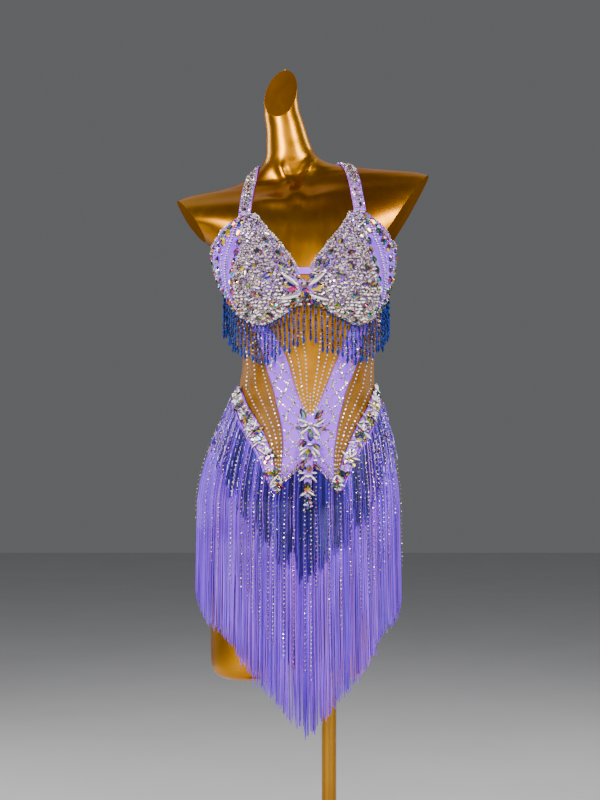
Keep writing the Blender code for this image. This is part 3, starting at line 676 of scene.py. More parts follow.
# ---------------- small shapes, many times over
class Shape:
    """A small closed shape, as arrays, from a bmesh that is 1 unit across and stands on z = 0."""

    def __init__(self, bm):
        bmesh.ops.recalc_face_normals(bm, faces=bm.faces)
        bmesh.ops.triangulate(bm, faces=bm.faces[:])
        bm.verts.index_update()
        self.points = np.array([vert.co[:] for vert in bm.verts])
        self.faces = np.array([[vert.index for vert in face.verts] for face in bm.faces])
        self.turns = np.array([atan2(face.calc_center_median().y, face.calc_center_median().x)
                               for face in bm.faces])
        self.table = np.array([face.normal.z > 0.98 for face in bm.faces])
        bm.free()


def faceted(sides, table, height, outline=None):
    """A stone with a flat back, a crown of three-cornered facets and a table."""
    bm = bmesh.new()
    bmesh.ops.create_cone(bm, cap_ends=True, segments=sides, radius1=0.5, radius2=0.5 * table,
                          depth=height)
    bmesh.ops.translate(bm, verts=bm.verts, vec=(0, 0, height / 2))
    upper = [vert for vert in bm.verts if vert.co.z > height / 2]
    bmesh.ops.rotate(bm, verts=upper, matrix=Matrix.Rotation(pi / sides, 3, "Z"))
    for vert in bm.verts:
        reach = vert.co.xy.length
        turn = atan2(vert.co.y, vert.co.x)
        if outline:
            vert.co.y = reach * sin(turn) * outline(turn)
    return Shape(bm)


def pointed(turn):
    """Narrows a round outline to a point at both ends."""
    return abs(sin(turn))


def drop_like(turn):
    """Narrows a round outline to a point at one end."""
    return abs(sin(turn)) ** (0.5 + 0.5 * cos(turn))


def round_bead(segments, rings, ends=None, sink=0.4):
    """A rounded bead lying along X; ends narrows it from its middle, and sink seats it."""
    bm = bmesh.new()
    bmesh.ops.create_uvsphere(bm, u_segments=segments, v_segments=rings, radius=0.5)
    bmesh.ops.rotate(bm, verts=bm.verts, matrix=Matrix.Rotation(pi / 2, 3, "Y"))
    for vert in bm.verts:
        slim = ends(vert.co.x * 2) if ends else 1
        vert.co.yz *= slim
    bmesh.ops.translate(bm, verts=bm.verts, vec=(0, 0, sink))
    return Shape(bm)


def pipe_bead(sides, sink=0.4):
    """A bugle bead lying along X."""
    bm = bmesh.new()
    bmesh.ops.create_cone(bm, cap_ends=True, segments=sides, radius1=0.5, radius2=0.5, depth=1)
    caps = [face for face in bm.faces if abs(face.normal.z) > 0.9]
    bmesh.ops.inset_individual(bm, faces=caps, thickness=0.12, depth=0.05)
    bmesh.ops.rotate(bm, verts=bm.verts, matrix=Matrix.Rotation(pi / 2, 3, "Y"))
    bmesh.ops.translate(bm, verts=bm.verts, vec=(0, 0, sink))
    return Shape(bm)


def seed(sink=0.0):
    """A small round bead; sink seats it."""
    bm = bmesh.new()
    bmesh.ops.create_icosphere(bm, subdivisions=1, radius=0.5)
    bmesh.ops.translate(bm, verts=bm.verts, vec=(0, 0, sink))
    return Shape(bm)


CHATON = faceted(8, 0.58, 0.5)
SMALL_CHATON = faceted(6, 0.6, 0.5)
NAVETTE = faceted(12, 0.5, 0.5, pointed)
DROP = faceted(12, 0.5, 0.5, drop_like)
OVAL = faceted(12, 0.55, 0.5)
PEARL_BALL = round_bead(8, 6)
PETAL = round_bead(8, 8, lambda x: 1.04 - 0.5 * x * x)
BUGLE = pipe_bead(8)
BUGLE_SMALL = pipe_bead(6)
RICE = round_bead(8, 6, lambda x: 1.25 - 0.25 * x * x)
SEED = seed()
SEED_PEARL = seed(0.4)
TEAR = round_bead(7, 6, lambda x: 0.62 - 0.38 * x if x > -0.6 else 0.85, sink=0.0)
FACETED = (CHATON, SMALL_CHATON, NAVETTE, DROP, OVAL)
PEARLY = (PEARL_BALL, RICE, PETAL)
BIG_STONE = 0.006       # from this length on, a stone's facets share a few broad patches of tint
PATCHES = 5
LEAN = 14               # how unevenly small stones are set, in degrees

# Facet tints: the near-white and near-black facets of clear, silvery and chain stones are painted
# reflections; in warm and coated stones the hues are their own glass and coat, and the near-black patches
# are painted reflections
CLEAR = ((0.92, 0.9, 0.92), (0.7, 0.64, 0.68), (0.96, 0.94, 0.95), (0.05, 0.03, 0.05),
         (0.72, 0.56, 0.34), (0.48, 0.34, 0.54), (0.8, 0.76, 0.78), (0.14, 0.08, 0.08))
SILVER = ((0.8, 0.82, 0.88), (0.58, 0.64, 0.8), (0.95, 0.95, 0.95), (0.28, 0.28, 0.34))
CHAIN_GLASS = ((0.66, 0.52, 0.3), (0.14, 0.08, 0.03), (0.36, 0.24, 0.1), (0.94, 0.94, 0.94))
WARM = ((0.66, 0.44, 0.18), (0.5, 0.24, 0.16), (0.3, 0.06, 0.06), (0.72, 0.68, 0.76),
        (0.46, 0.24, 0.52), (0.13, 0.04, 0.08))
AURORA = ((0.9, 0.58, 0.0), (0.0, 0.4, 0.62), (0.58, 0.01, 0.2), (0.1, 0.26, 0.0),
          (0.01, 0.1, 0.05), (0.01, 0.01, 0.02), (0.66, 0.1, 0.0), (0.01, 0.02, 0.44),
          (0.86, 0.5, 0.0), (0.01, 0.01, 0.02), (0.2, 0.08, 0.44), (0.01, 0.01, 0.01))
DARK_GLASS = ((0.05, 0.03, 0.04), (0.13, 0.08, 0.11), (0.22, 0.13, 0.07), (0.3, 0.22, 0.3),
              (0.02, 0.012, 0.02), (0.6, 0.5, 0.52))
# in pairs: the painted lit half and the painted shaded half of a pearl or a petal
PETALS_LIT_AND_SHADED = ((0.97, 0.96, 0.95), (0.13, 0.11, 0.12), (0.9, 0.87, 0.83), (0.24, 0.2, 0.22),
          (0.97, 0.95, 0.92), (0.09, 0.08, 0.08))
CREAM_LIT_AND_SHADED = ((0.99, 0.92, 0.93), (0.17, 0.11, 0.14), (0.94, 0.82, 0.72), (0.1, 0.06, 0.06),
         (0.96, 0.86, 0.92), (0.26, 0.17, 0.32))
# dim tints for the bed of seed pearls under a cup's crowd: painted shade in the gaps
SHADED_BED_TINTS = ((0.42, 0.35, 0.37), (0.18, 0.13, 0.17), (0.4, 0.31, 0.23), (0.1, 0.07, 0.09),
         (0.34, 0.24, 0.27), (0.18, 0.12, 0.09))
ICE = ((0.14, 0.06, 0.66), (0.26, 0.15, 0.86), (0.58, 0.48, 0.98), (0.05, 0.025, 0.34), (0.4, 0.22, 0.42))
ROYALS = ((0.003, 0.014, 0.13), (0.005, 0.025, 0.22), (0.001, 0.006, 0.05), (0.009, 0.042, 0.31))

OVER_STEPS, BELOW_STEPS = 6, 6      # steps of a yarn over the hips, and below them
YARN_STEPS = OVER_STEPS + BELOW_STEPS
YARN_WIDE, YARN_THICK = 0.00105, 0.00055


class Joined:
    """Many small closed shapes with tints of their own, gathered to be one mesh."""

    tinted = "CORNER"

    def __init__(self):
        self.points, self.faces, self.tints = [], [], []
        self.count = 0

    def gather(self, points, faces, tints):
        self.points.append(points)
        self.faces.append(faces + self.count)
        self.tints.append(tints)
        self.count += len(points)

    def mesh(self, name):
        mesh = bpy.data.meshes.new(name)
        mesh.from_pydata(np.concatenate(self.points).tolist(), [], np.concatenate(self.faces).tolist())
        colours = np.concatenate(self.tints)
        tint = mesh.attributes.new("tint", "FLOAT_COLOR", self.tinted)
        tint.data.foreach_set("color", np.hstack([colours, np.ones((len(colours), 1))]).ravel())
        return mesh


class Strewn(Joined):
    """Copies of small shapes, each with its own place, size and tints."""

    def __init__(self, chance):
        super().__init__()
        self.chance = chance

    def add(self, shape, spot, size, turn=0.0, tints=CLEAR, lean=0.0):
        """size is length, width and height; turn goes from across towards up, in degrees."""
        turned = radians(turn)
        along = spot.across * cos(turned) + spot.up * sin(turned)
        beside = spot.normal.cross(along)
        out = spot.normal
        if lean:
            tipped = Matrix.Rotation(radians(lean), 3, along)
            beside, out = tipped @ beside, tipped @ out
        axes = np.array([along[:], beside[:], out[:]]) * np.array(size)[:, None]
        tinted = np.repeat(self.picked(shape, size, tints), 3, axis=0)
        self.gather(shape.points @ axes + np.array(spot.place[:]), shape.faces, tinted)

    def stone(self, spot, size, turn, tints, flat=0.8, uneven=LEAN, shape=SMALL_CHATON):
        """A small faceted stone, set a little unevenly."""
        self.add(shape, spot, (size, size, size * flat), turn, tints, self.chance.gauss(0, uneven))

    def picked(self, shape, size, tints):
        """A tint for each facet: big stones have a few broad patches, other beads are all one tint; pearls
        and petals get a painted lit half and a painted shaded half.
        """
        if shape in PEARLY:
            # a pearl takes the lit tint on its upper half and the shaded tint below, as painted light from
            # above; a petal takes its painted highlight on either side
            bright = self.chance.randrange(0, len(tints), 2)
            upper, lower = tints[bright:bright + 2]
            if shape is PETAL and self.chance.random() < 0.5:
                upper, lower = lower, upper
            return np.where((shape.turns > 0)[:, None], upper, lower)
        if shape not in FACETED:
            return np.array([self.chance.choice(tints)] * len(shape.faces))
        if max(size) < BIG_STONE:
            picks = np.array([self.chance.choice(tints) for _ in shape.faces])
            # a small stone's table takes the brighter of two tints: a painted highlight
            picks[shape.table] = max(self.chance.choice(tints), self.chance.choice(tints), key=sum)
            return picks
        first, stride = self.chance.randrange(len(tints)), self.chance.choice((1, 5, 7))
        patches = np.array([tints[(first + k * stride) % len(tints)] for k in range(PATCHES)])
        start = self.chance.uniform(0, 2 * pi)
        return patches[((shape.turns + start) / (2 * pi) * PATCHES).astype(int) % PATCHES]

    def joined(self, name, finish, slot, *nodes, smooth=False):
        settle(name, self.mesh(name), finish, nodes, sharp=60 if smooth else 0)


class Yarns(Joined):
    """Strands of fringe: each is a thin three-sided yarn along its own path."""

    tinted = "POINT"

    def __init__(self):
        super().__init__()
        bm = bmesh.new()
        bmesh.ops.create_cone(bm, cap_ends=True, segments=3, radius1=1, radius2=1, depth=1)
        upright = [edge for edge in bm.edges if abs(edge.verts[0].co.z - edge.verts[1].co.z) > 0.5]
        bmesh.ops.subdivide_edges(bm, edges=upright, cuts=YARN_STEPS - 1)
        self.yarn = Shape(bm)
        self.row = np.rint((0.5 - self.yarn.points[:, 2]) * YARN_STEPS).astype(int)

    def add(self, path, across, outward, width, root, tip):
        """path, across, outward and width have a row for each level, from root to tip."""
        x, y = self.yarn.points[:, :1], self.yarn.points[:, 1:2]
        sideways = across[self.row] * x * width[self.row][:, None]
        share = (self.row / YARN_STEPS)[:, None]
        self.gather(path[self.row] + sideways + outward[self.row] * y * YARN_THICK, self.yarn.faces,
                    np.array(root) * (1 - share) + np.array(tip) * share)

    def joined(self, name, finish, slot, *nodes):
        mesh = self.mesh(name)
        bm = bmesh.new()
        bm.from_mesh(mesh)
        bmesh.ops.recalc_face_normals(bm, faces=bm.faces)
        bm.to_mesh(mesh)
        bm.free()
        settle(name, mesh, finish, nodes, sharp=80)


# ================ camera and light
EYE = Vector((-0.0493, -3.2, 0.9905))
CAMERA_FAR = 3.2        # from the eye to the body's own axis
WAIST = (-0.04, 0, 1.0)
Lamp = namedtuple("Lamp", "name place target width height power colour")
LAMPS = rows_of(
    Lamp,
    ("key", (-1.7, -2.5, 2.0), WAIST, 0.9, 1.5, 140, (1.0, 0.99, 0.98)),
    ("fill", (2.0, -2.1, 1.9), WAIST, 0.8, 1.5, 96, (0.98, 0.98, 1.0)),
    ("rim_left", (-2.2, 1.3, 1.6), WAIST, 0.5, 2.0, 36, (1.0, 1.0, 1.0)),
    ("rim_right", (2.2, 1.4, 1.7), WAIST, 0.5, 2.0, 36, (1.0, 1.0, 1.0)),
    ("front", (0.1, -3.5, 1.85), WAIST, 3.2, 0.9, 18, (1.0, 0.9, 0.66)),
    ("ceiling", (0, 1.6, 3.0), (0, 1.6, 0), 4.0, 2.6, 14, (1.0, 1.0, 1.0)),
)


def make_studio():
    camera = linked("camera", bpy.data.cameras.new("camera"))
    camera.data.lens = 84.7
    camera.data.sensor_width = 36
    camera.location = EYE
    camera.rotation_euler = (radians(90), 0, 0)
    bpy.context.scene.camera = camera
    for lamp in LAMPS:
        light = bpy.data.lights.new(lamp.name, "AREA")
        light.shape = "RECTANGLE"
        light.size, light.size_y = lamp.width, lamp.height
        light.energy, light.color = lamp.power, lamp.colour
        made = linked(lamp.name, light)
        made.location = lamp.place
        made.rotation_mode = "QUATERNION"
        made.rotation_quaternion = (Vector(lamp.target) - made.location).to_track_quat("-Z", "Y")
    world = bpy.data.worlds.new("studio")
    world.use_nodes = True
    backdrop = world.node_tree.nodes["Background"]
    backdrop.inputs["Color"].default_value = (0.62, 0.63, 0.66, 1)
    backdrop.inputs["Strength"].default_value = 0.2
    bpy.context.scene.world = world
    pale = Finish("pale_floor", (0.64, 0.64, 0.65), 0.6)
    cloud = pale.speckle(3.0, 4.0)
    pale.colour(pale.mixed(cloud, (0.6, 0.6, 0.61), (0.68, 0.68, 0.69)))
    pale.raised(pale.speckle(220.0, 2.0), 0.0005, 0.2)
    bm = bmesh.new()
    bmesh.ops.create_grid(bm, x_segments=1, y_segments=1, size=9)
    ground = linked("floor", mesh_of("floor", bm))
    ground.data.materials.append(pale.material)


make_studio()


# ================ form and stand
def profile_levels(count):
    """Heights of the form's rings, evenly spaced along its outline."""
    heights = [0.7 + 0.9 * i / 3000 for i in range(3001)]
    length = [0.0]
    for low, high in zip(heights, heights[1:]):
        a, b = (Vector((girth("centre_x", h) * 0.3 + girth("half_width", h), h)) for h in (low, high))
        length.append(length[-1] + (b - a).length)
    picked = []
    for k in range(count + 1):
        want = length[-1] * k / count
        picked.append(heights[min(len(heights) - 1, bisect_left(length, want))])
    return picked


def arm_limit(point, side):
    """How far out the arm cut's plane lets the shoulder reach, easing away under the armpit."""
    tip_z = ARM_CUT_TOP + side * SHOULDER_TILT * SHOULDER_SPAN / 2
    plane = SHOULDER_SPAN / 2 + ARM_CUT_SLANT * (point.z - tip_z) + ARM_CUT_TURN * point.y
    under = max(0.0, ARM_CUT_BOTTOM + 0.012 - point.z)
    return plane + 12.0 * under ** 1.5


ON_NECK_CUT, ON_ARM_CUT = 1, 2      # places of their finishes in the form's list


def close_flat(bm, material):
    """Closes every open edge loop with a flat face of another finish."""
    rims = [edge for edge in bm.edges if edge.is_boundary]
    for cap in bmesh.ops.holes_fill(bm, edges=rims)["faces"]:
        cap.material_index = material


Ridge = namedtuple("Ridge", "foot_x foot_z head_x head_z high spread fades_from fades_to")
# beside the throat: the two neck muscles, the collar bones and the hollows under them
THROAT = Line(-0.056, 1.322)
RIDGES = rows_of(
    Ridge,
    (0.002, 1.326, 0.033, 1.41, 0.0068, 0.0085, 0.7, 1.0),
    (0.012, 1.322, 0.125, 1.338, 0.0034, 0.0095, 0.25, 0.62),
    (0.018, 1.304, 0.125, 1.318, -0.002, 0.012, 0.25, 0.62),
)


def relief(point):
    """How far the form swells at its collar bones and neck muscles, and sinks at its throat."""
    if point.y > 0.01 or not 1.27 < point.z < 1.46:
        return 0.0
    across = abs(point.x - THROAT.angle)
    level = point.z - tilt(point.z, point.x - THROAT.angle)
    swell = -0.006 * exp(-((across / 0.01) ** 2 + ((level - THROAT.height) / 0.01) ** 2))
    for ridge in RIDGES:
        run = Vector((ridge.head_x - ridge.foot_x, ridge.head_z - ridge.foot_z))
        to = Vector((across - ridge.foot_x, level - ridge.foot_z))
        share = max(0.0, min(1.0, to.dot(run) / run.length_squared))
        beside = (to - run * share).length
        swell += ridge.high * (1 - eased(ridge.fades_from, ridge.fades_to, share)) * exp(
            -(beside / ridge.spread) ** 2)
    return swell if abs(swell) > 1e-5 else 0.0


def cut_arm(bm, middle, side):
    """Cuts a shoulder off along a slanted plane, and gives the cut a finish of its own, darkened as painted
    shade.
    """
    tip_z = ARM_CUT_TOP + side * SHOULDER_TILT * SHOULDER_SPAN / 2
    normal = Vector((side, -ARM_CUT_TURN, -ARM_CUT_SLANT))
    point = Vector((middle + side * SHOULDER_SPAN / 2, 0, tip_z))

    def outside(place):
        return (place.x - middle) * side
    part = [vert for vert in bm.verts if vert.co.z > 1.2 and outside(vert.co) > 0.05]
    near = set(part)
    part += [edge for edge in bm.edges if set(edge.verts) <= near]
    part += [face for face in bm.faces if set(face.verts) <= near]
    bmesh.ops.bisect_plane(bm, geom=part, dist=0.0004, plane_co=point, plane_no=normal)
    for vert in bm.verts:
        if vert.co.z > 1.19 and outside(vert.co) > arm_limit(vert.co, side) + 1e-5:
            vert.co.x = middle + side * arm_limit(vert.co, side)
    for face in bm.faces:
        centre = face.calc_center_median()
        if centre.z > 1.25 and outside(centre) > arm_limit(centre, side) - 0.0004:
            face.material_index = ON_ARM_CUT


def cut_neck(bm):
    """Cuts the neck off along a slanted plane, closes it flat and rounds its rim."""
    neck = Vector((girth("centre_x", NECK_TOP_HEIGHT), girth("centre_y", NECK_TOP_HEIGHT), NECK_TOP_HEIGHT))
    bmesh.ops.bisect_plane(bm, geom=bm.verts[:] + bm.edges[:] + bm.faces[:], dist=1e-5, plane_co=neck,
                           plane_no=Vector(NECK_CUT), clear_outer=True)
    close_flat(bm, ON_NECK_CUT)
    bmesh.ops.recalc_face_normals(bm, faces=bm.faces)
    rim = [edge for edge in bm.edges if len(edge.link_faces) == 2 and edge.calc_length() > 1e-5
           and edge.link_faces[0].material_index != edge.link_faces[1].material_index
           and edge.verts[0].co.z > 1.4]
    bmesh.ops.bevel(bm, geom=rim, offset=0.0012, segments=3, profile=0.5, affect="EDGES", material=-1)


def thigh_stub(name, table):
    """A stub of a thigh, closed at both ends, as an object that the form takes in."""
    steps = 40
    heights = [THIGH_BOTTOM + (THIGH_TOP - THIGH_BOTTOM) * (k / steps) ** 1.6 for k in range(steps + 1)]

    def place(across, share):
        height = heights[round(share * steps)]
        turn = 2 * pi * across
        x, y, wide, deep = (read(table, "height", column, height) for column in table[0]._fields[1:])
        return Vector((x + wide * sin(turn), y - deep * cos(turn), height))
    bm = grid(72, steps, place, around=True)
    close_flat(bm, 0)
    bmesh.ops.recalc_face_normals(bm, faces=bm.faces)
    stub = linked(name, mesh_of(name, bm))
    stub.data.materials.append(FORM_GOLD.material)
    return stub


def make_form():
    """The form: a torso, cut at its arms and its neck, with two thigh stubs joined to it."""
    around, up = 190, 280
    levels = profile_levels(up)

    def torso_point(across, share):
        height = levels[round(share * up)]
        swell = relief(section_point(360 * across, height))
        return skin(360 * across, height, swell)
    bm = grid(around, up, torso_point, around=True)
    for side, _ in SIDES:
        cut_arm(bm, girth("centre_x", ARM_CUT_TOP), side)
    cut_neck(bm)
    sharp = 32
    finishes = (FORM_GOLD, CUT_GOLD, SHADED_ARM_CUT_GOLD)
    form = piece("torso_form", bm, finishes, "form_gold", "display_form", sharp=sharp)
    stubs = [thigh_stub("thigh_left", LEFT_THIGH), thigh_stub("thigh_right", RIGHT_THIGH)]
    for stub in stubs:
        joined = form.modifiers.new(stub.name, "BOOLEAN")
        joined.operation = "UNION"
        joined.solver = "EXACT"
        joined.object = stub
    bpy.context.view_layer.update()
    made = bpy.data.meshes.new_from_object(form.evaluated_get(bpy.context.evaluated_depsgraph_get()))
    form.modifiers.clear()
    form.data = made
    made.shade_smooth()
    made.set_sharp_from_angle(angle=radians(sharp))
    for stub in stubs:
        bpy.data.objects.remove(stub)
    return form


def spun(name, profile, finish, slot, *nodes, steps=96):
    """A round piece on the pole's axis, spun from a profile of (radius, height)."""
    bm = bmesh.new()
    points = [bm.verts.new((radius, 0, height)) for radius, height in profile]
    edges = [bm.edges.new(pair) for pair in zip(points, points[1:])]
    bmesh.ops.spin(bm, geom=points + edges, cent=(0, 0, 0), axis=(0, 0, 1), angle=2 * pi,
                   steps=steps, use_merge=True)
    bmesh.ops.remove_doubles(bm, verts=bm.verts, dist=1e-6)
    bmesh.ops.recalc_face_normals(bm, faces=bm.faces)
    made = piece(name, bm, finish, slot, *nodes, sharp=40)
    edge = made.modifiers.new("edge", "BEVEL")
    edge.width, edge.segments = 0.0006, 2
    edge.limit_method, edge.angle_limit = "ANGLE", radians(50)


def make_stand():
    rim, thick = BASE_RADIUS, BASE_THICK
    spun("stand_base", [
        (0, thick), (rim - 0.012, thick), (rim - 0.004, thick - 0.0006), (rim - 0.0012, thick - 0.0018),
        (rim, thick - 0.0036), (rim, 0.0008), (rim - 0.0008, 0), (0, 0),
    ], BASE_GOLD, "base_gold", "base_plate")
    foot, top = BASE_THICK + SEAT_GAP, THIGH_BOTTOM - SEAT_GAP
    wide, high, pole = COLLAR_RADIUS, COLLAR_HEIGHT, POLE_RADIUS
    spun("stand_pole", [
        (0, top), (wide - 0.001, top), (wide, top - 0.001), (wide, top - high + 0.001),
        (wide - 0.001, top - high), (pole + 0.002, top - high), (pole, top - high - 0.002),
        (pole, foot + high + 0.002), (pole + 0.002, foot + high), (wide - 0.001, foot + high),
        (wide, foot + high - 0.001), (wide, foot), (0, foot),
    ], STAND_GOLD, "stand_gold", "pole", steps=64)
    screws = Strewn(random.Random(5))
    head = faceted(12, 0.8, 0.35)
    for k in range(4):
        turn = pi / 4 + k * pi / 2
        out = Vector((cos(turn), sin(turn), 0))
        spot = Spot(out * 0.0215 + UP * (foot + high), UP, out, UP.cross(out))
        screws.add(head, spot, (0.007, 0.007, 0.003), tints=((0.5, 0.3, 0.06),))
    screws.joined("stand_screws", STAND_GOLD, "stand_gold")


# ================ cloth on the body
def weave_flat(angle, height):
    """The cloth's own measure at a place, near enough for its weave."""
    return (radians(angle) * MEAN_RADIUS, height)


def crease(angle, height):
    """Faint pulls in tight cloth, outwards only."""
    pull = noise.noise(Vector((angle / 14, height * 26, 1.7)))
    ripple = noise.noise(Vector((angle / 5 + height * 60, height * 90, 5.1)))
    waist = exp(-((height - 1.045) / 0.035) ** 2)
    return 0.0004 + 0.0003 * pull + 0.0002 * ripple * (0.4 + waist)


def sheet_points(left, right, bottom, top):
    """Angle and height at a share across and up a piece between two side edges and two levels."""
    @lru_cache(maxsize=None)
    def found(across, up):
        angle, height = 0.0, 1.0
        for _ in range(12):
            angle = left(height) + (right(height) - left(height)) * across
            low, high = bottom(angle), top(angle)
            height = low + (high - low) * up
        return angle, height
    return found


def as_line(value):
    """A plain number, as a line that has it everywhere. A line stays as it is."""
    return value if callable(value) else lambda at: value


def uncreased(angle, height):
    return 0.0


def cloth(name, left, right, bottom, top, columns, rows, finish, slot, *nodes,
          out=EASE, thick=CLOTH, place=skin, soft=crease):
    """A sheet on the body between two side edges and two levels, with a wall's thickness."""
    found = sheet_points(as_line(left), as_line(right), as_line(bottom), as_line(top))

    def at(across, up):
        angle, height = found(across, up)
        return place(angle, height, out + soft(angle, height))
    bm = grid(columns, rows, at, flat=lambda across, up: weave_flat(*found(across, up)))
    walled(piece(name, bm, finish, slot, *nodes), thick)


def bra_line(angle):
    return line_height(BRA_EDGE, angle) - EDGE_GAP


def above_hip(angle):
    return line_height(HIP_SEAM, angle) + SEAM


def below_hip(angle):
    return line_height(HIP_SEAM, angle) - 2.5 * SEAM


def heading_line(angle):
    return line_height(HEADING, angle)


def between(inner, outer, side):
    """The side edges of a piece that lies on one side of the body, from left to right."""
    inner, outer = as_line(inner), as_line(outer)
    edges = [lambda h: side * inner(h), lambda h: side * outer(h)]
    return edges if side > 0 else edges[::-1]


def make_body():
    half = SEAM / 2
    cloth("front_net", lambda h: -edge_angle(V_INNER, h, -half), lambda h: edge_angle(V_INNER, h, -half),
          MESH_APEX + 0.004, bra_line, 40, 60, TAN_MESH, "tan_mesh", "front_mesh")
    for side, label in SIDES:
        start, end = between(lambda h: edge_angle(V_INNER, h, half),
                             lambda h: edge_angle(V_OUTER, h, -half), side)
        cloth("v_band_" + label, start, end, above_hip, bra_line, 20, 84, LILAC_CLOTH, "lilac_cloth",
              "v_panel_" + label)
        start, end = between(lambda h: edge_angle(V_OUTER, h, half), SIDE_SEAM - SEAM_ANGLE, side)
        cloth("side_net_" + label, start, end, above_hip, bra_line, 40, 84, SHADED_SIDE_MESH, "tan_mesh",
              "side_mesh_" + label)
    cloth("back_net", SIDE_SEAM + SEAM_ANGLE, 360 - SIDE_SEAM - SEAM_ANGLE, above_hip,
          lambda a: bra_line(a) - SEAM, 90, 44, TAN_MESH, "tan_mesh", "back_mesh")
    edge = SIDE_SEAM - SEAM_ANGLE
    for label, middle in (("front", 0), ("back", 180)):
        cloth("underskirt_" + label, middle - edge, middle + edge, SLIP_HEM, below_hip, 80, 60, LILAC_CLOTH,
              "lilac_cloth", "slip_" + label, out=SLIP_EASE, place=hang)


# ================ cups, gore, straps and band
def ring_curve(points):
    """A smooth closed line through points of (angle, height), from a share of 0 to 1."""
    count = len(points)

    def value(share):
        k = floor(share * count)
        t = share * count - k
        a, b, c, d = (points[(k + step) % count] for step in (-1, 0, 1, 2))
        result = []
        for i in (0, 1):
            slope0, slope1 = (c[i] - a[i]) * 0.42, (d[i] - b[i]) * 0.42
            result.append(b[i] * (1 + 2 * t) * (1 - t) ** 2 + c[i] * t * t * (3 - 2 * t)
                          + slope0 * t * (1 - t) ** 2 - slope1 * t * t * (1 - t))
        return result
    return value


OUTLINE = ring_curve(CUP_OUTLINE)


def cup_place(side, share, ring):
    """Angle and height on a cup, from a share of its outline and of the way out to it."""
    angle, height = OUTLINE(share)
    return (side * (CUP_CENTRE.angle + (angle - CUP_CENTRE.angle) * ring),
            CUP_CENTRE.height + (height - CUP_CENTRE.height) * ring)


def make_cup(side, label):
    """A covered cup of moulded foam, and the binding round its edge."""
    def at(across, up):
        return cup_place(side, across * side, 1 - up)
    bm = grid(150, 28, lambda across, up: skin(*at(across, up), EASE), around=True,
              flat=lambda across, up: weave_flat(*at(across, up)))
    bmesh.ops.recalc_face_normals(bm, faces=bm.faces)
    centre = Vector((girth("centre_x", 1.2), 0, 1.2))
    if sum((f.calc_center_median() - centre).dot(f.normal) for f in bm.faces) < 0:
        bmesh.ops.reverse_faces(bm, faces=bm.faces)
    walled(piece("cup_" + label + "_cover", bm, CUP_CLOTH, "cup_cloth", "cup_" + label), CUP_FOAM)

    def edge(up):
        spot = on_body(*cup_place(side, up, 1.0), EASE + CUP_FOAM * 0.5)
        after = on_body(*cup_place(side, up + 0.002, 1.0), EASE + CUP_FOAM * 0.5).place
        run = (after - spot.place).normalized()
        return spot.place, run.cross(spot.normal).normalized(), spot.normal
    bm = tube(8, 220, edge, 0.001)
    bmesh.ops.recalc_face_normals(bm, faces=bm.faces)
    bmesh.ops.remove_doubles(bm, verts=bm.verts, dist=1e-5)
    piece("cup_" + label + "_binding", bm, BAND_CLOTH, "cup_cloth", sharp=80)


def strap_path():
    """Levels up the chest, a fan over the shoulder and levels down the back, as (height, turn)."""
    path = [(STRAP_FOOT + (STRAP_FAN - STRAP_FOOT) * i / 12, 0) for i in range(13)]
    path += [(STRAP_FAN, 180 * i / 48) for i in range(1, 49)]
    path += [(STRAP_FAN + (BAND_TOP + EDGE_GAP - STRAP_FAN) * i / 24, 180) for i in range(1, 25)]
    return path


STRAP_PATH = strap_path()
SOURCE_STEPS = 21       # steps of the source's coarser path, whose shares the strap's line is read at


def strap_spot(form, side, share, across, out):
    """A place on a strap at a share of its steps and a distance from its middle."""
    step = share * (len(STRAP_PATH) - 1)
    k = min(int(step), len(STRAP_PATH) - 2)
    rest = step - k
    (h0, t0), (h1, t1) = STRAP_PATH[k], STRAP_PATH[k + 1]
    height, turn = h0 + (h1 - h0) * rest, t0 + (t1 - t0) * rest
    if turn == 0:
        at = (height - STRAP_FOOT) / (STRAP_FAN - STRAP_FOOT) * 3 / SOURCE_STEPS
    elif turn < 180:
        at = (3 + turn / 180 * 12) / SOURCE_STEPS
    else:
        at = (15 + (STRAP_FAN - height) / (STRAP_FAN - BAND_TOP - EDGE_GAP) * 6) / SOURCE_STEPS
    aside = side * read(STRAP_LINE, "share", "left" if side < 0 else "right", at) + across
    ray = Vector((0, -cos(radians(turn)), sin(radians(turn))))
    middle = girth("centre_x", ARM_CUT_TOP)
    start = Vector((middle + aside, STRAP_FAN_Y, height + tilt(height, aside)))
    hit, normal, _, _ = form.ray_cast(start, ray)
    sideways = Vector((1, 0, 0))
    sideways = (sideways - normal * sideways.dot(normal)).normalized()
    return Spot(hit + normal * out, normal, sideways, normal.cross(sideways))


def make_straps(form):
    for side, label in SIDES:
        def place(across, up, side=side):
            across = (across - 0.5) * STRAP_WIDTH
            swell = 0.0005 * (1 - (2 * across / STRAP_WIDTH) ** 2)
            return strap_spot(form, side, up, across, EASE + swell).place
        bm = grid(8, 150, place, flat=lambda across, up: (across * STRAP_WIDTH, up * STRAP_LENGTH))
        cover = piece("strap_" + label + "_cover", bm, BAND_CLOTH, "band_cloth", "strap_" + label)
        walled(cover, STRAP_CLOTH)


def make_bands():
    cloth("gore_band", lambda h: -gore_half(h), gore_half, 1.197, 1.208, 24, 12, BAND_CLOTH, "band_cloth",
          "gore", thick=STRAP_CLOTH, place=gore_point)
    cloth("back_band_cover", BAND_START, 360 - BAND_START, BAND_BOTTOM + EDGE_GAP, BAND_TOP, 120, 12,
          BAND_CLOTH, "band_cloth", "back_band", thick=STRAP_CLOTH)


def gore_point(angle, height, out):
    """The gore bridges the hollow between the cups."""
    point = skin(angle, height, out)
    point.y = min(point.y, skin(gore_half(height), height, out).y - 0.001)
    return point


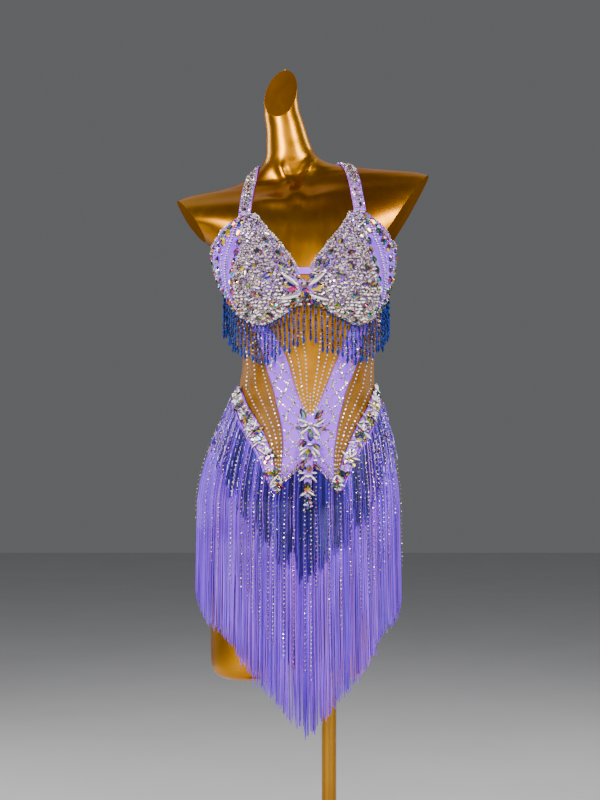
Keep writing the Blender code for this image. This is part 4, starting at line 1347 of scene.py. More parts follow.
FORM = make_form()
make_stand()
make_body()
for cup_side, cup_label in SIDES:
    make_cup(cup_side, cup_label)
bpy.context.view_layer.update()
SURFACE = BVHTree.FromObject(FORM, bpy.context.evaluated_depsgraph_get())
make_straps(SURFACE)
make_bands()


# ================ fringes
LILAC_TINTS = ((0.21, 0.036, 0.97), (0.29, 0.058, 1.0), (0.15, 0.026, 0.76), (0.38, 0.094, 1.0),
               (0.18, 0.032, 0.98))
INDIGO_TINTS = ((0.015, 0.008, 0.19), (0.023, 0.012, 0.26), (0.008, 0.006, 0.1), (0.044, 0.02, 0.38))
TAPE_HEIGHT = 0.006
BUST_TAPE = 0.002       # height of the narrow tape under the bra


def shaded(tint, by):
    return tuple(min(1.0, value * by) for value in tint)


def strand_levels(root, tip):
    """Heights of a strand's rows: over the hips closely, then down in longer steps."""
    turning = max(min(HIP_HEIGHT, root), tip)
    heights = [root + (turning - root) * i / OVER_STEPS for i in range(OVER_STEPS + 1)]
    return heights + [turning + (tip - turning) * i / BELOW_STEPS for i in range(1, BELOW_STEPS + 1)]


def strand(yarns, chance, angle, root, tip, out, tints, drift, tip_shade=0.85):
    """One strand of fringe, with a little sway and its own tint."""
    heights = strand_levels(root, tip)
    swing = chance.gauss(0, drift)
    phase, bend = chance.uniform(0, 6.3), chance.uniform(0.15, 0.5)
    lift = chance.uniform(0, 0.0004)
    path, across, outward = [], [], []
    for height in heights:
        share = (root - height) / (root - tip)
        turn = angle + swing * share ** 2 + bend * sin(share * 7 + phase) * share
        spot = on_fall(turn, height, out + lift * share)
        path.append(spot.place[:])
        across.append(spot.across[:])
        outward.append(spot.normal[:])
    tint = shaded(chance.choice(tints), chance.uniform(0.6, 1.3))
    taper = np.array([YARN_WIDE] * YARN_STEPS + [YARN_WIDE * 0.6])
    yarns.add(np.array(path), np.array(across), np.array(outward), taper, tint, shaded(tint, tip_shade))


def make_long_fringe():
    """Three layers of lilac yarn, the under ones a little longer, cut to a ragged point."""
    for layer, (label, count) in enumerate((("under", 400), ("middle", 430), ("over", 460))):
        chance = random.Random(41 + layer)
        yarns = Yarns()
        for k in range(count):
            angle = 360 * (k + chance.uniform(-0.3, 0.3)) / count - 180
            clump = 0.016 * noise.noise(Vector((angle / 2.3, layer * 3.1, 0)))
            tip = line_height(LONG_HEM, angle) + clump + chance.gauss(0, 0.0028) - 0.004 * (1 - layer)
            strand(yarns, chance, angle, heading_line(angle) - 0.001, tip, ON_SLIP - 0.0008 + layer * 0.0011,
                   LILAC_TINTS, 0.5)
        nodes = ["long_fringe"] if label == "over" else []
        yarns.joined("long_fringe_" + label, LILAC_YARN, "lilac_fringe", *nodes)


def make_short_fringe():
    """Two layers of blue-violet yarn across the front, with lilac ones among them at the sides."""
    for layer, (label, count) in enumerate((("under", 150), ("over", 165))):
        chance = random.Random(61 + layer)
        yarns = Yarns()
        for k in range(count):
            angle = -SHORT_END + 2 * SHORT_END * (k + 0.5 + chance.uniform(-0.35, 0.35)) / count
            clump = 0.02 * noise.noise(Vector((angle / 3.1, layer * 4.7, 9.0)))
            tip = line_height(SHORT_HEM, angle) + clump + chance.gauss(0, 0.008)
            indigo = chance.random() < 0.8 - 0.3 * abs(angle) / SHORT_END
            strand(yarns, chance, angle, heading_line(angle) - 0.002, tip, ON_LONG - 0.0008 + layer * 0.0011,
                   INDIGO_TINTS if indigo else LILAC_TINTS, 0.8, tip_shade=0.8)
        nodes = ["short_fringe"] if label == "over" else []
        yarns.joined("short_fringe_" + label, INDIGO_YARN, "indigo_fringe", *nodes)


def make_tapes():
    """The woven headings that carry the rows of fringe."""
    cloth("hip_tape", -180, 180, lambda a: heading_line(a) - TAPE_HEIGHT, heading_line, 300, 4, BAND_CLOTH,
          "lilac_fringe", out=ON_SLIP + 0.0026, thick=0.0006, soft=uncreased)
    cloth("bust_tape", -BEAD_END, BEAD_END, lambda a: bra_line(a) - EDGE_GAP - BUST_TAPE,
          lambda a: bra_line(a) - EDGE_GAP, 160, 3, ROYAL_TAPE, "royal_beads", out=ON_BODY + 0.0004,
          thick=0.0006, soft=uncreased)


def make_bust_fringe():
    """Strands of royal seed beads, each ending in a drop, with a few clear and golden ones."""
    chance = random.Random(23)
    beads = Strewn(chance)
    count = 58
    out = ON_BODY + 0.0032
    for k in range(count):
        angle = -BEAD_END + 2 * BEAD_END * (k + 0.5) / count + chance.uniform(-0.3, 0.3)
        root = bra_line(angle) - EDGE_GAP - BUST_TAPE
        length = BEAD_LENGTH + chance.uniform(-0.004, 0.006) + 0.004 * cos(radians(angle * 4))
        height = root
        swing = chance.gauss(0, 0.5)
        fancy = chance.random() < 0.12
        while height > root - length:
            spot = on_fall(angle + swing * (root - height) / length, height, out, root)
            tints = WARM[:3] if fancy and chance.random() < 0.25 else ROYALS
            if chance.random() < 0.3:
                beads.add(BUGLE_SMALL, spot, (0.004, 0.0032, 0.003), 90, ROYALS)
                height -= 0.0041
            else:
                beads.add(SEED, spot, (0.0032, 0.0043, 0.004), 90, tints)
                height -= 0.0028
        spot = on_fall(angle + swing, height - 0.0022, out, root)
        beads.add(TEAR, spot, (0.01, 0.0076, 0.0062), -90, ROYALS[:2])
    beads.joined("bust_bead_strands", SEED_BEAD, "royal_beads", "beaded_fringe", smooth=True)


def make_side_strands():
    """Silvery bugle strands over the fringe at both hips."""
    chance = random.Random(29)
    beads = Strewn(chance)
    for side in (-1, 1):
        for k in range(12):
            angle = side * (40 + 42 * (k + chance.uniform(0.2, 0.8)) / 12)
            height = heading_line(angle) - 0.008 - chance.uniform(0, 0.01)
            tip = height - chance.uniform(0.05, 0.095)
            while height > tip:
                spot = on_fall(angle, height, ON_SHORT + 0.0002)
                if chance.random() < 0.5:
                    length = chance.uniform(0.005, 0.009)
                    beads.add(BUGLE_SMALL, spot, (length, 0.0015, 0.0015), 90 + chance.gauss(0, 5), ICE)
                    height -= length + 0.001
                else:
                    beads.add(SEED, spot, (0.0022, 0.0022, 0.0022), 0, ICE)
                    height -= 0.0032
    beads.joined("side_bead_strands", SEED_BEAD, "royal_beads", smooth=True)


Chain = namedtuple("Chain", "across end")        # where a chain of stones ends, in millimetres
CHAINS = rows_of(
    Chain,
    (-214, 744), (-201, 722), (-190, 705), (-168, 688), (-150, 677), (-138, 657), (-129, 639), (-117, 618),
    (-103, 598), (-95, 591), (-76, 566), (-60, 549), (-41, 547), (-31, 527), (-22, 685), (0, 586),
    (20, 605), (37, 688), (54, 644), (68, 666), (78, 685), (88, 702), (95, 717), (104, 728), (116, 800),
)


def make_chains():
    """Chains of small stones that hang over the fringe, and plainer ones behind."""
    chance = random.Random(31)
    stones = Strewn(chance)
    centre, turn = girth("centre_x", HIP_HEIGHT), girth("turn", HIP_HEIGHT)
    chains = []
    for chain in CHAINS:
        reach = max(-0.995, min(0.995, (chain.across / 1000 - centre) / HIP_HALF))
        chains.append((degrees(asin(reach)) - turn, chain.end / 1000))
    chains += [(angle, line_height(LONG_HEM, angle) + chance.uniform(0.05, 0.12))
               for angle in range(SHORT_END, 360 - SHORT_END, 12)]
    for angle, end in chains:
        around = (angle + 180) % 360 - 180
        front = abs(around) < SHORT_END
        height = heading_line(angle) - chance.uniform(0.01, 0.03)
        tints = chance.choice((WARM, WARM, CHAIN_GLASS))
        while height > end:
            low = line_height(SHORT_HEM, around) if front else 9.0
            over = ON_SHORT + 0.0012 if front and height > low - 0.004 else ON_LONG + 0.0008
            spot = on_fall(angle + chance.gauss(0, 0.12), height, over)
            stones.stone(spot, chance.uniform(0.0027, 0.0034), chance.uniform(0, 60), tints)
            height -= 0.007 + chance.gauss(0, 0.0006)
    for _ in range(260):
        angle = chance.uniform(-78, 78)
        root = heading_line(angle)
        height = root - 0.006 - (root - line_height(SHORT_HEM, angle)) * chance.random() ** 1.6 * 0.8
        stones.stone(on_fall(angle, height, ON_SHORT + 0.001), chance.uniform(0.0018, 0.0028),
                     chance.uniform(0, 60), chance.choice((WARM, DARK_GLASS)))
    stones.joined("fringe_stone_chains", STONE, "crystal")


# ================ stones on the cups
def cup_reach():
    """How far a cup's outline is from its centre in each direction, as sorted arrays."""
    pairs = []
    for k in range(900):
        angle, height = OUTLINE(k / 900)
        run, rise = radians(angle - CUP_CENTRE.angle) * MEAN_RADIUS, height - CUP_CENTRE.height
        pairs.append((atan2(rise, run), hypot(run, rise)))
    pairs.sort()
    return np.array(pairs)


CUP_REACH = cup_reach()
# where the thickly covered part of a cup ends, at each height
DENSE_EDGE = rows_of(
    Edge,
    (1.11, 53.0), (1.131, 57.0), (1.155, 57.0), (1.178, 52.0), (1.2015, 46.5), (1.2275, 42.0),
    (1.257, 37.0), (1.285, 30.0), (1.3, 26.0),
)


def cup_ring(angle, height):
    """Share of the way from a cup's centre out to its outline."""
    run, rise = radians(angle - CUP_CENTRE.angle) * MEAN_RADIUS, height - CUP_CENTRE.height
    reach = np.interp(atan2(rise, run), CUP_REACH[:, 0], CUP_REACH[:, 1], period=2 * pi)
    return hypot(run, rise) / reach


def outer_angle(height):
    """The angle of a cup's outer edge at a height."""
    angle = 92.0
    while angle > 20 and cup_ring(angle, height) > 1:
        angle -= 0.5
    return angle


def around_outline(start, end, step):
    """Shares of a cup's outline at even real distances, from one of its points to another."""
    start, end = start / len(CUP_OUTLINE), end / len(CUP_OUTLINE)
    shares, walked, before = [], step, None
    for k in range(600):
        share = start + (end - start) * k / 599
        here = on_body(*cup_place(1, share % 1, 0.96), ON_CUP).place
        walked += (here - before).length if before else 0
        if walked >= step:
            shares.append(share % 1)
            walked = 0.0
        before = here
    return shares


def scattered(chance, low, high, bottom, top, step):
    """Evenly strewn places of (angle, height) with a little disorder."""
    rows = int((top - bottom) / (step * 0.87))
    run = degrees(step / MEAN_RADIUS)
    for row in range(rows + 1):
        angle = low + (row % 2) * run / 2
        while angle < high:
            moved = angle + chance.gauss(0, run * 0.16)
            yield moved, bottom + row * step * 0.87 + chance.gauss(0, step * 0.14)
            angle += run


Crowd = namedtuple("Crowd", "bottom top step small large pearls rice")
# how the crowded part of a cup is covered: bigger pearls low down, small ones towards the strap
CROWDS = rows_of(
    Crowd,
    (1.112, 1.222, 0.0062, 0.0036, 0.0064, 0.4, 0.22),
    (1.224, 1.302, 0.0045, 0.0028, 0.0042, 0.46, 0.04),
)
Setting = namedtuple("Setting", "angle height length wide turn")
# the coated stones set among the pearls of a cup
CUP_FEATURES = rows_of(
    Setting,
    (22.0, 1.193, 0.015, 0.008, -24), (32.0, 1.166, 0.0125, 0.0085, 8),
    (22.0, 1.15, 0.014, 0.0075, 18), (43.0, 1.148, 0.0125, 0.0075, -12),
    (13.5, 1.211, 0.014, 0.0072, 52), (27.0, 1.231, 0.013, 0.0072, 20),
    (38.0, 1.208, 0.012, 0.0085, -30), (30.0, 1.133, 0.013, 0.0075, 24),
    (50.0, 1.135, 0.013, 0.0075, -20), (44.0, 1.184, 0.012, 0.007, 36),
    (20.5, 1.25, 0.012, 0.0066, 60), (28.0, 1.206, 0.0105, 0.007, -60),
    (36.0, 1.184, 0.01, 0.0066, 70), (15.0, 1.229, 0.011, 0.0068, 40),
    (8.5, 1.213, 0.01, 0.0062, 70), (12.0, 1.142, 0.011, 0.0068, 30),
    (38.0, 1.124, 0.011, 0.0066, 0), (33.0, 1.256, 0.0095, 0.006, -40),
)
# lines of stones over the outer part of a cup: place across it, distance between, and kind
Trail = namedtuple("Trail", "share step kind")
TRAILS = rows_of(
    Trail,
    (0.06, 0.0165, "coated"), (0.27, 0.0039, "small"), (0.58, 0.0185, "coated"), (0.42, 0.0085, "pearl"),
    (0.74, 0.0072, "pearl"),
)


class CupTrim:
    """The stones and pearls of one cup, and the ways to set them."""

    def __init__(self, side):
        self.side, self.chance = side, random.Random(70 + side)
        self.pearls, self.stones = Strewn(self.chance), Strewn(self.chance)

    def spot(self, angle, height, out=0.0):
        """A place on the cup; across always points from left to right."""
        return on_body(self.side * angle, height, ON_CUP + out)

    def chaton(self, spot, small, large, tints):
        size = self.chance.uniform(small, large)
        shape = SMALL_CHATON if size < 0.0036 else CHATON
        self.stones.stone(spot, size, self.chance.uniform(0, 60), tints, shape=shape)

    def pearl(self, spot, small, large, tints=CREAM_LIT_AND_SHADED, shape=PEARL_BALL):
        size = self.chance.uniform(small, large)
        self.pearls.add(shape, spot, (size, size, size * 0.92), 0, tints)

    def either(self, spot, pearls, pearl_sizes, stone_sizes, coloured, tints):
        """A pearl by a chance, otherwise a stone, which by another chance has these tints."""
        if self.chance.random() < pearls:
            self.pearl(spot, *pearl_sizes)
        else:
            self.chaton(spot, *stone_sizes, tints if self.chance.random() < coloured else CLEAR)

    def coated(self, spot, length, wide, turn, shapes=(NAVETTE, NAVETTE, DROP)):
        """A bigger stone with a coat that shows several tints."""
        shape = self.chance.choice(shapes)
        self.stones.add(shape, spot, (length, wide, 0.0052), turn, AURORA, self.chance.gauss(0, 5))


def is_dense(angle, height, margin):
    """Whether a place lies in the crowded part of a cup."""
    return cup_ring(angle, height) < margin and 3.2 < angle < read(DENSE_EDGE, "height", "angle", height)


def crowd_cup(trim):
    """Pearls, bugles and small stones that crowd the inner part, over a bed of seeds and stones kept dark as
    painted shade between them.
    """
    chance = trim.chance
    # the bed is dark glass and dim seed pearls: painted shade in the gaps between the pearls above
    for angle, height in scattered(chance, 2, 72, 1.11, 1.305, 0.0033):
        if is_dense(angle, height, 0.985):
            spot = trim.spot(angle, height, -0.0006)
            if chance.random() < 0.55:
                trim.chaton(spot, 0.0046, 0.0054, DARK_GLASS)
            else:
                trim.pearl(spot, 0.0042, 0.005, SHADED_BED_TINTS, SEED_PEARL)
    for crowd in CROWDS:
        for angle, height in scattered(chance, 2, 72, crowd.bottom, crowd.top, crowd.step):
            near = any(hypot(radians(angle - stone.angle) * MEAN_RADIUS, height - stone.height)
                       < 0.0026 + stone.length * 0.46 for stone in CUP_FEATURES)
            if near or not is_dense(angle, height, 0.955):
                continue
            spot = trim.spot(angle, height, chance.uniform(0.0006, 0.0022))
            draw = chance.random()
            if draw < crowd.pearls:
                trim.pearl(spot, crowd.small, crowd.large)
            elif draw < crowd.pearls + crowd.rice:
                length = chance.uniform(0.0068, 0.0098)
                trim.pearls.add(RICE, spot, (length, 0.0037, 0.0037), chance.gauss(0, 20), CREAM_LIT_AND_SHADED)
            elif draw < 0.9:
                trim.chaton(spot, crowd.small, crowd.large, WARM if chance.random() < 0.4 else CLEAR)
            else:
                length = chance.uniform(0.005, 0.008)
                trim.stones.add(BUGLE, spot, (length, 0.0024, 0.0024), chance.uniform(0, 180), CLEAR)
    for stone in CUP_FEATURES:
        angle, height = stone.angle + chance.gauss(0, 0.7), stone.height + chance.gauss(0, 0.0015)
        trim.coated(trim.spot(angle, height, 0.0026), stone.length * 1.25, stone.wide * 1.3,
                    trim.side * stone.turn)


def trail_cup(trim):
    """Coated stones along the edge of the crowded part, and lines of stones over the bare cloth."""
    chance = trim.chance
    for trail in TRAILS:
        walked, before, height = trail.step * 0.5, None, 1.292
        while height > 1.126:
            low, high = read(DENSE_EDGE, "height", "angle", height), outer_angle(height)
            angle = low + (high - low) * trail.share
            spot = trim.spot(angle, height, {"coated": 0.0014, "small": 0.0006}.get(trail.kind, -0.0002))
            walked += (spot.place - before.place).length if before else 0
            before = spot
            height -= 0.0008
            roomy = high - low > (6 if trail.share > 0.1 else 2)
            if walked < trail.step or not roomy or cup_ring(angle, height) > 0.94:
                continue
            walked = 0.0
            if trail.kind == "small":
                trim.pearl(spot, 0.0034, 0.0038)
            elif trail.kind == "pearl":
                trim.pearl(spot, 0.0032, 0.004)
            else:
                size = chance.uniform(0.0145, 0.0175)
                turn = 90 + trim.side * chance.uniform(5, 35)
                trim.coated(spot, size, size * 0.64, turn, (DROP, DROP, OVAL))


def rim_spot(trim, share, sunk=0.0012, sideways=1.0):
    """A place on a cup's edge that faces partly outwards from the body and partly off the cup."""
    spot = trim.spot(*cup_place(1, share, 1.0), -sunk)
    away = trim.spot(*cup_place(1, share, 1.02), -sunk).place - spot.place
    along = trim.spot(*cup_place(1, share + 0.002, 1.0), -sunk).place - spot.place
    away -= spot.normal * away.dot(spot.normal)
    normal = (spot.normal + away.normalized() * sideways).normalized()
    across = (along - normal * along.dot(normal)).normalized()
    return Spot(spot.place, normal, across, normal.cross(across))


# places on a cup's outline, counted in its points from the gore
NECK_FROM, NECK_TO, OUTSIDE_FROM, COVERED_FROM, UNDER_FROM, LAST = 2.6, 8.3, 8.4, 15, 18, 25


def edge_cup(trim):
    """Coated navettes round the outside, stones and pearls along the neckline and underneath."""
    chance = trim.chance
    for share in around_outline(0, LAST, 0.0038):
        trim.either(rim_spot(trim, share), 0.45, (0.0032, 0.0042), (0.0034, 0.0044), 0.25, WARM)
    for share in around_outline(COVERED_FROM, LAST, 0.004):
        trim.either(rim_spot(trim, share, 0.0034, 4.0), 0.6, (0.0034, 0.0044), (0.0034, 0.0044), 0.4, WARM)
    for share in around_outline(OUTSIDE_FROM, UNDER_FROM, 0.0135):
        spot = trim.spot(*cup_place(1, share, 0.95), 0.0006)
        run = trim.spot(*cup_place(1, share + 0.01, 0.95)).place - spot.place
        trim.coated(spot, 0.013, 0.0078, turn_of(run, spot) + chance.gauss(0, 8), (NAVETTE, OVAL))
    for share in around_outline(UNDER_FROM, LAST, 0.005):
        spot = trim.spot(*cup_place(1, share, 0.985))
        if chance.random() < 0.4:
            trim.coated(spot, 0.0092, 0.0056, chance.uniform(-40, 40))
        elif chance.random() < 0.5:
            trim.chaton(spot, 0.0036, 0.005, CLEAR)
        else:
            trim.pearl(spot, 0.0038, 0.005)
    for share in around_outline(NECK_FROM, NECK_TO, 0.0046):
        spot = trim.spot(*cup_place(1, share, 0.985))
        trim.either(spot, 0.5, (0.0038, 0.0056), (0.0038, 0.0054), 0.3, AURORA)


def make_cup_stones(side, label):
    trim = CupTrim(side)
    crowd_cup(trim)
    trail_cup(trim)
    edge_cup(trim)
    trim.stones.joined("cup_" + label + "_stones", STONE, "crystal")
    trim.pearls.joined("cup_" + label + "_pearls", PEARL, "crystal", smooth=True)


# ================ ornaments
Ornament = namedtuple("Ornament", "kind across height length wide turn")
# places and sizes in millimetres as seen from the front; turn in degrees from level
BOW = rows_of(
    Ornament,
    ("petal", -66, 1194, 35, 8.5, -37), ("petal", -21, 1196, 34, 8.5, 38), ("petal", -66, 1167, 35, 8, 13),
    ("petal", -16, 1166, 33, 8, -17), ("navette", -68, 1182, 26, 14, -8),
    ("navette", -19, 1183, 24, 12.5, 20), ("navette", -58, 1159, 21, 9.5, 25),
    ("navette", -24, 1156, 20, 9.5, -34), ("navette", -63, 1150, 12, 6, 30),
    ("navette", -15, 1153, 11, 6, -36), ("drop", -30, 1202, 10, 8, 70), ("drop", -54, 1199, 9, 6, 110),
    ("dark", -42, 1187, 13, 13, 0), ("oval", -41, 1172, 21, 13, 90), ("round", -41, 1158, 7, 7, 0),
    ("pearl", -48, 1153, 5, 5, 0), ("pearl", -34, 1153, 5, 5, 0),
)
COLUMN_STONES = rows_of(
    Ornament,
    ("navette", -44, 967, 21, 9.7, 114), ("navette", -17, 966, 22, 9.7, 50),
    ("petal", -45, 954, 20, 5.6, -19), ("petal", -15, 953, 23, 5.8, 31), ("petal", -41, 946, 12, 4.6, 14),
    ("petal", -22, 946, 12, 4.6, -14), ("navette", -52, 943, 12, 6.8, 6),
    ("navette", -11, 942, 15, 7.6, -12), ("petal", -42, 939, 22, 5.8, 36),
    ("petal", -21, 937, 20, 6.6, -52), ("pearl", -32, 949, 8, 7, 0), ("drop", -32, 931, 22, 10.5, 92),
    ("clear", -22, 926, 8, 7, 0), ("pearl", -45, 924, 6, 6, 0), ("navette", -44, 916, 15, 8.8, 30),
    ("navette", -21, 912, 17, 8.8, -30), ("petal", -45, 907, 13, 4.8, 25), ("petal", -44, 901, 18, 5.6, 43),
    ("petal", -22, 903, 19, 5.8, -48), ("petal", -26, 898, 15, 4.8, -62), ("pearl", -33, 914, 8, 7, 0),
    ("drop", -35, 898, 21, 11.5, 90), ("pearl", -45, 890, 7, 6, 0), ("pearl", -23, 887, 7, 6, 0),
    ("navette", -43, 884, 12, 8, 20), ("navette", -44, 876, 13, 7, -20), ("navette", -22, 877, 15, 8, -45),
    ("drop", -34, 874, 14, 9, 90), ("petal", -46, 867, 11, 4.4, 5), ("petal", -25, 867, 10, 4.4, -5),
    ("petal", -45, 858, 16, 4.8, 45), ("petal", -27, 857, 17, 4.8, -45), ("pearl", -36, 860, 8, 7, 0),
    ("drop", -37, 843, 18, 12.8, 90), ("petal", -44, 831, 13, 5.0, 32), ("petal", -30, 831, 13, 5.0, -32),
    ("clear", -37, 830, 6, 6, 0), ("oval", -37, 820, 12, 8, 90), ("clear", -31, 816, 5, 5, 0),
    ("pearl", -41, 812, 5, 5, 0), ("round", -36, 806, 6, 6, 0),
)
SHAPES = {"navette": NAVETTE, "drop": DROP, "oval": OVAL, "round": CHATON, "clear": CHATON, "dark": CHATON}
TINTS = {"clear": CLEAR, "dark": DARK_GLASS}


def set_ornament(stones, pearls, item, spot):
    """Sets one stone or pearl of an ornament."""
    length, wide = item.length / 1000, item.wide / 1000
    if item.kind in ("petal", "pearl"):
        shape = PETAL if item.kind == "petal" else PEARL_BALL
        pearls.add(shape, spot, (length, wide, wide * 0.8), item.turn, PETALS_LIT_AND_SHADED)
    else:
        stones.add(SHAPES[item.kind], spot, (length, wide, min(0.0055, wide * 0.75)), item.turn,
                   TINTS.get(item.kind, AURORA))


def bridged(angle, height, out):
    """A place over the cups that crosses the hollow between them."""
    spot = on_body(angle, height, out)
    level = skin(BOW_HALF, height, out).y
    if spot.place.y <= level:
        return spot
    place = Vector((spot.place.x, level, spot.place.z))
    return Spot(place, Vector((0, -1, 0)), Vector((1, 0, 0)), UP)


def make_bow():
    """The ornament between the cups: four pearly petals and coated navettes round a big stone."""
    chance = random.Random(83)
    stones, pearls = Strewn(chance), Strewn(chance)
    for item in BOW:
        lifted = {"oval": 0.0064, "dark": 0.006, "navette": 0.005}.get(item.kind, 0.0042)
        angle, height = seen_at(item.across / 1000, item.height / 1000, ON_CUP + 0.002, bridged)
        set_ornament(stones, pearls, item, bridged(angle, height, ON_CUP + lifted))
    for _ in range(60):
        angle = chance.choice((-1, 1)) * chance.uniform(4.4, 8.0)
        height = chance.uniform(1.154, 1.19)
        size = chance.uniform(0.0028, 0.004)
        spot = bridged(angle, height, ON_CUP + 0.0012)
        if chance.random() < 0.4:
            pearls.add(PEARL_BALL, spot, (size, size, size), 0, CREAM_LIT_AND_SHADED)
        else:
            stones.stone(spot, size, chance.uniform(0, 60), WARM if chance.random() < 0.4 else CLEAR)
    for _ in range(90):
        spot = bridged(chance.uniform(-4.6, 4.6), chance.uniform(1.156, 1.19), ON_CUP + 0.0012)
        stones.stone(spot, chance.uniform(0.0026, 0.0036), chance.uniform(0, 60),
                     chance.choice((CLEAR, WARM, DARK_GLASS)), flat=0.6)
    half = 7
    cloth("bow_backing", -half, half, lambda a: 1.16 + 0.008 * (1 - abs(a) / half),
          lambda a: 1.183 + 0.01 * abs(a) / half, 20, 12, BAND_CLOTH, "crystal", out=ON_CUP + 0.0006,
          thick=0.0008, place=lambda a, h, out: bridged(a, h, out).place, soft=uncreased)
    stones.joined("bow_stones", STONE, "crystal", "bow_crystals")
    pearls.joined("bow_petals", PEARL, "crystal", smooth=True)


def column_out(height):
    """How far the centre column stands off the body: on the cloth above, over the fringe below."""
    return ON_BODY + 0.0012 + (ON_SHORT - ON_BODY) * (1 - eased(0.9, 0.93, height))


def over_column(angle, height, out):
    """A place on the centre column."""
    return on_body(angle, height, out + column_out(height))


def make_column():
    """The ornament down the centre front, and small stones beside its foot."""
    chance = random.Random(89)
    stones, pearls = Strewn(chance), Strewn(chance)

    def half(height):
        return read(COLUMN, "height", "angle", height) * 0.3
    cloth("column_backing", lambda h: -half(h), half, COLUMN[0].height + 0.004, COLUMN[-1].height - 0.012,
          12, 60, LILAC_CLOTH, "crystal", out=-0.001, thick=0.0008,
          place=lambda a, h, out: over_column(a, h, out).place, soft=uncreased)
    for item in COLUMN_STONES:
        angle, height = seen_at(item.across / 1000, item.height / 1000, 0.0, over_column)
        lifted = 0.0 if item.kind == "petal" else 0.0014
        set_ornament(stones, pearls, item, over_column(angle, height, lifted))
        for _ in range(2):
            aside, above = chance.uniform(-2.4, 2.4), chance.uniform(-0.007, 0.007)
            spot = over_column(angle + aside, height + above, -0.0002)
            stones.stone(spot, chance.uniform(0.0026, 0.004), 0, chance.choice((CLEAR, WARM)))
    for _ in range(110):
        side = chance.choice((-1, 1))
        angle = chance.uniform(5, 18.5)
        spot = on_body(side * angle, heading_line(angle) - chance.uniform(-0.003, 0.007), ON_SHORT)
        stones.stone(spot, chance.uniform(0.002, 0.0032), chance.uniform(0, 60), WARM)
    stones.joined("column_stones", STONE, "crystal", "centre_crystals")
    pearls.joined("column_petals", PEARL, "crystal", smooth=True)


# the spray at a hip's lowest point: here across is an angle round the body
HIP_TIP = rows_of(
    Ornament,
    ("petal", 15.4, 861, 14, 4.6, 62), ("petal", 19.0, 862, 16, 4.8, 135), ("drop", 17.0, 853, 15, 9, 100),
    ("navette", 14.8, 850, 12, 6.5, 30), ("petal", 19.4, 850, 13, 4.6, 160), ("clear", 17.0, 844, 6, 6, 0),
    ("pearl", 15.4, 856, 5, 5, 0), ("pearl", 18.8, 856, 5, 5, 0), ("round", 17.2, 839, 5, 5, 0),
    ("pearl", 15.8, 844, 4, 4, 0), ("pearl", 18.4, 843, 4, 4, 0),
)


def hip_band(share, across):
    """Angle and height in a hip's band of crystals, along it and across it."""
    angle = CRYSTAL_START + (CRYSTAL_END - CRYSTAL_START) * share
    low, high = heading_line(angle) + 0.0012, below_hip(angle) - 0.0008
    return angle, low + (high - low) * across


def spray(stones, pearls, spot, lie, ahead):
    """Pearly petals and coated stones in a fan; lie is the hip's own run, in degrees."""
    chance = stones.chance
    way = lie + (0 if ahead else 180)

    def leaf(fan, reach, lifted=-0.0004):
        turn = radians(fan)
        aside = spot.across * cos(turn) + spot.up * sin(turn)
        return spot._replace(place=spot.place + aside * reach + spot.normal * lifted)
    for fan in (-78, -30, 22, 70):
        fan += way + chance.gauss(0, 9)
        if chance.random() < 0.3:
            continue
        if chance.random() < 0.7:
            length = chance.uniform(0.015, 0.0195)
            pearls.add(PETAL, leaf(fan, length * 0.6), (length, 0.005, 0.0044), fan, PETALS_LIT_AND_SHADED)
        else:
            pearls.add(RICE, leaf(fan, 0.009), (0.0105, 0.0056, 0.005), fan, CREAM_LIT_AND_SHADED)
    pearls.add(PEARL_BALL, leaf(way, 0.002, 0.0006), (0.0056, 0.0056, 0.005), 0, CREAM_LIT_AND_SHADED)
    stones.add(chance.choice((NAVETTE, DROP, OVAL)), leaf(way + 180, 0.006, 0.0016),
               (chance.uniform(0.017, 0.021), 0.0106, 0.006), lie + 90 + chance.gauss(0, 35), AURORA)
    for fan in (way + 140, way - 135):
        turn = fan + chance.gauss(0, 15)
        stones.add(NAVETTE, leaf(fan, 0.012, 0.0006), (0.0135, 0.0078, 0.0048), turn, AURORA)


def make_hip_crystals(side, label):
    """Sprays of pearly petals and coated stones, edge to edge along the hip."""
    chance = random.Random(97 + side)
    stones, pearls = Strewn(chance), Strewn(chance)
    out = ON_SLIP + 0.0018
    start, end = between(CRYSTAL_START - 0.4, CRYSTAL_END, side)
    cloth("hip_backing_" + label, start, end, lambda a: heading_line(a) + 0.0014,
          lambda a: below_hip(a) - 0.001, 60, 8, BAND_CLOTH, "crystal", out=ON_SLIP + 0.0006,
          thick=0.001, soft=uncreased)
    sprays = 10
    for k in range(sprays):
        share = (k + 0.22) / (sprays - 0.3)
        angle, height = hip_band(share, 0.48 + chance.uniform(-0.08, 0.08))
        spot = on_body(side * angle, height, out)
        angle, height = hip_band(share + 0.02, 0.48)
        run = on_body(side * angle, height, out).place - spot.place
        spray(stones, pearls, spot, turn_of(run, spot), k % 2)
    for tip in HIP_TIP:
        spot = on_body(side * tip.across, tip.height / 1000, ON_SHORT + 0.0004)
        turn = tip.turn if side > 0 else 180 - tip.turn
        set_ornament(stones, pearls, tip._replace(turn=turn), spot)
    for _ in range(260):
        share, across = chance.random() ** 1.3, chance.uniform(0.04, 0.96)
        angle, height = hip_band(share, across)
        spot = on_body(side * angle, height, out - 0.0006)
        if chance.random() < 0.35:
            size = chance.uniform(0.003, 0.0046)
            pearls.add(PEARL_BALL, spot, (size, size, size), 0, CREAM_LIT_AND_SHADED)
        else:
            stones.stone(spot, chance.uniform(0.0026, 0.0046), chance.uniform(0, 45),
                         chance.choice((AURORA, CLEAR, WARM)), shape=CHATON)
    stones.joined("hip_stones_" + label, STONE, "crystal", "hip_crystals_" + label)
    pearls.joined("hip_petals_" + label, PEARL, "crystal", smooth=True)


# ================ rows of small stones
def on_cloth(angle, height):
    """A place on the creased cloth of the body."""
    return on_body(angle, height, ON_BODY + crease(angle, height))


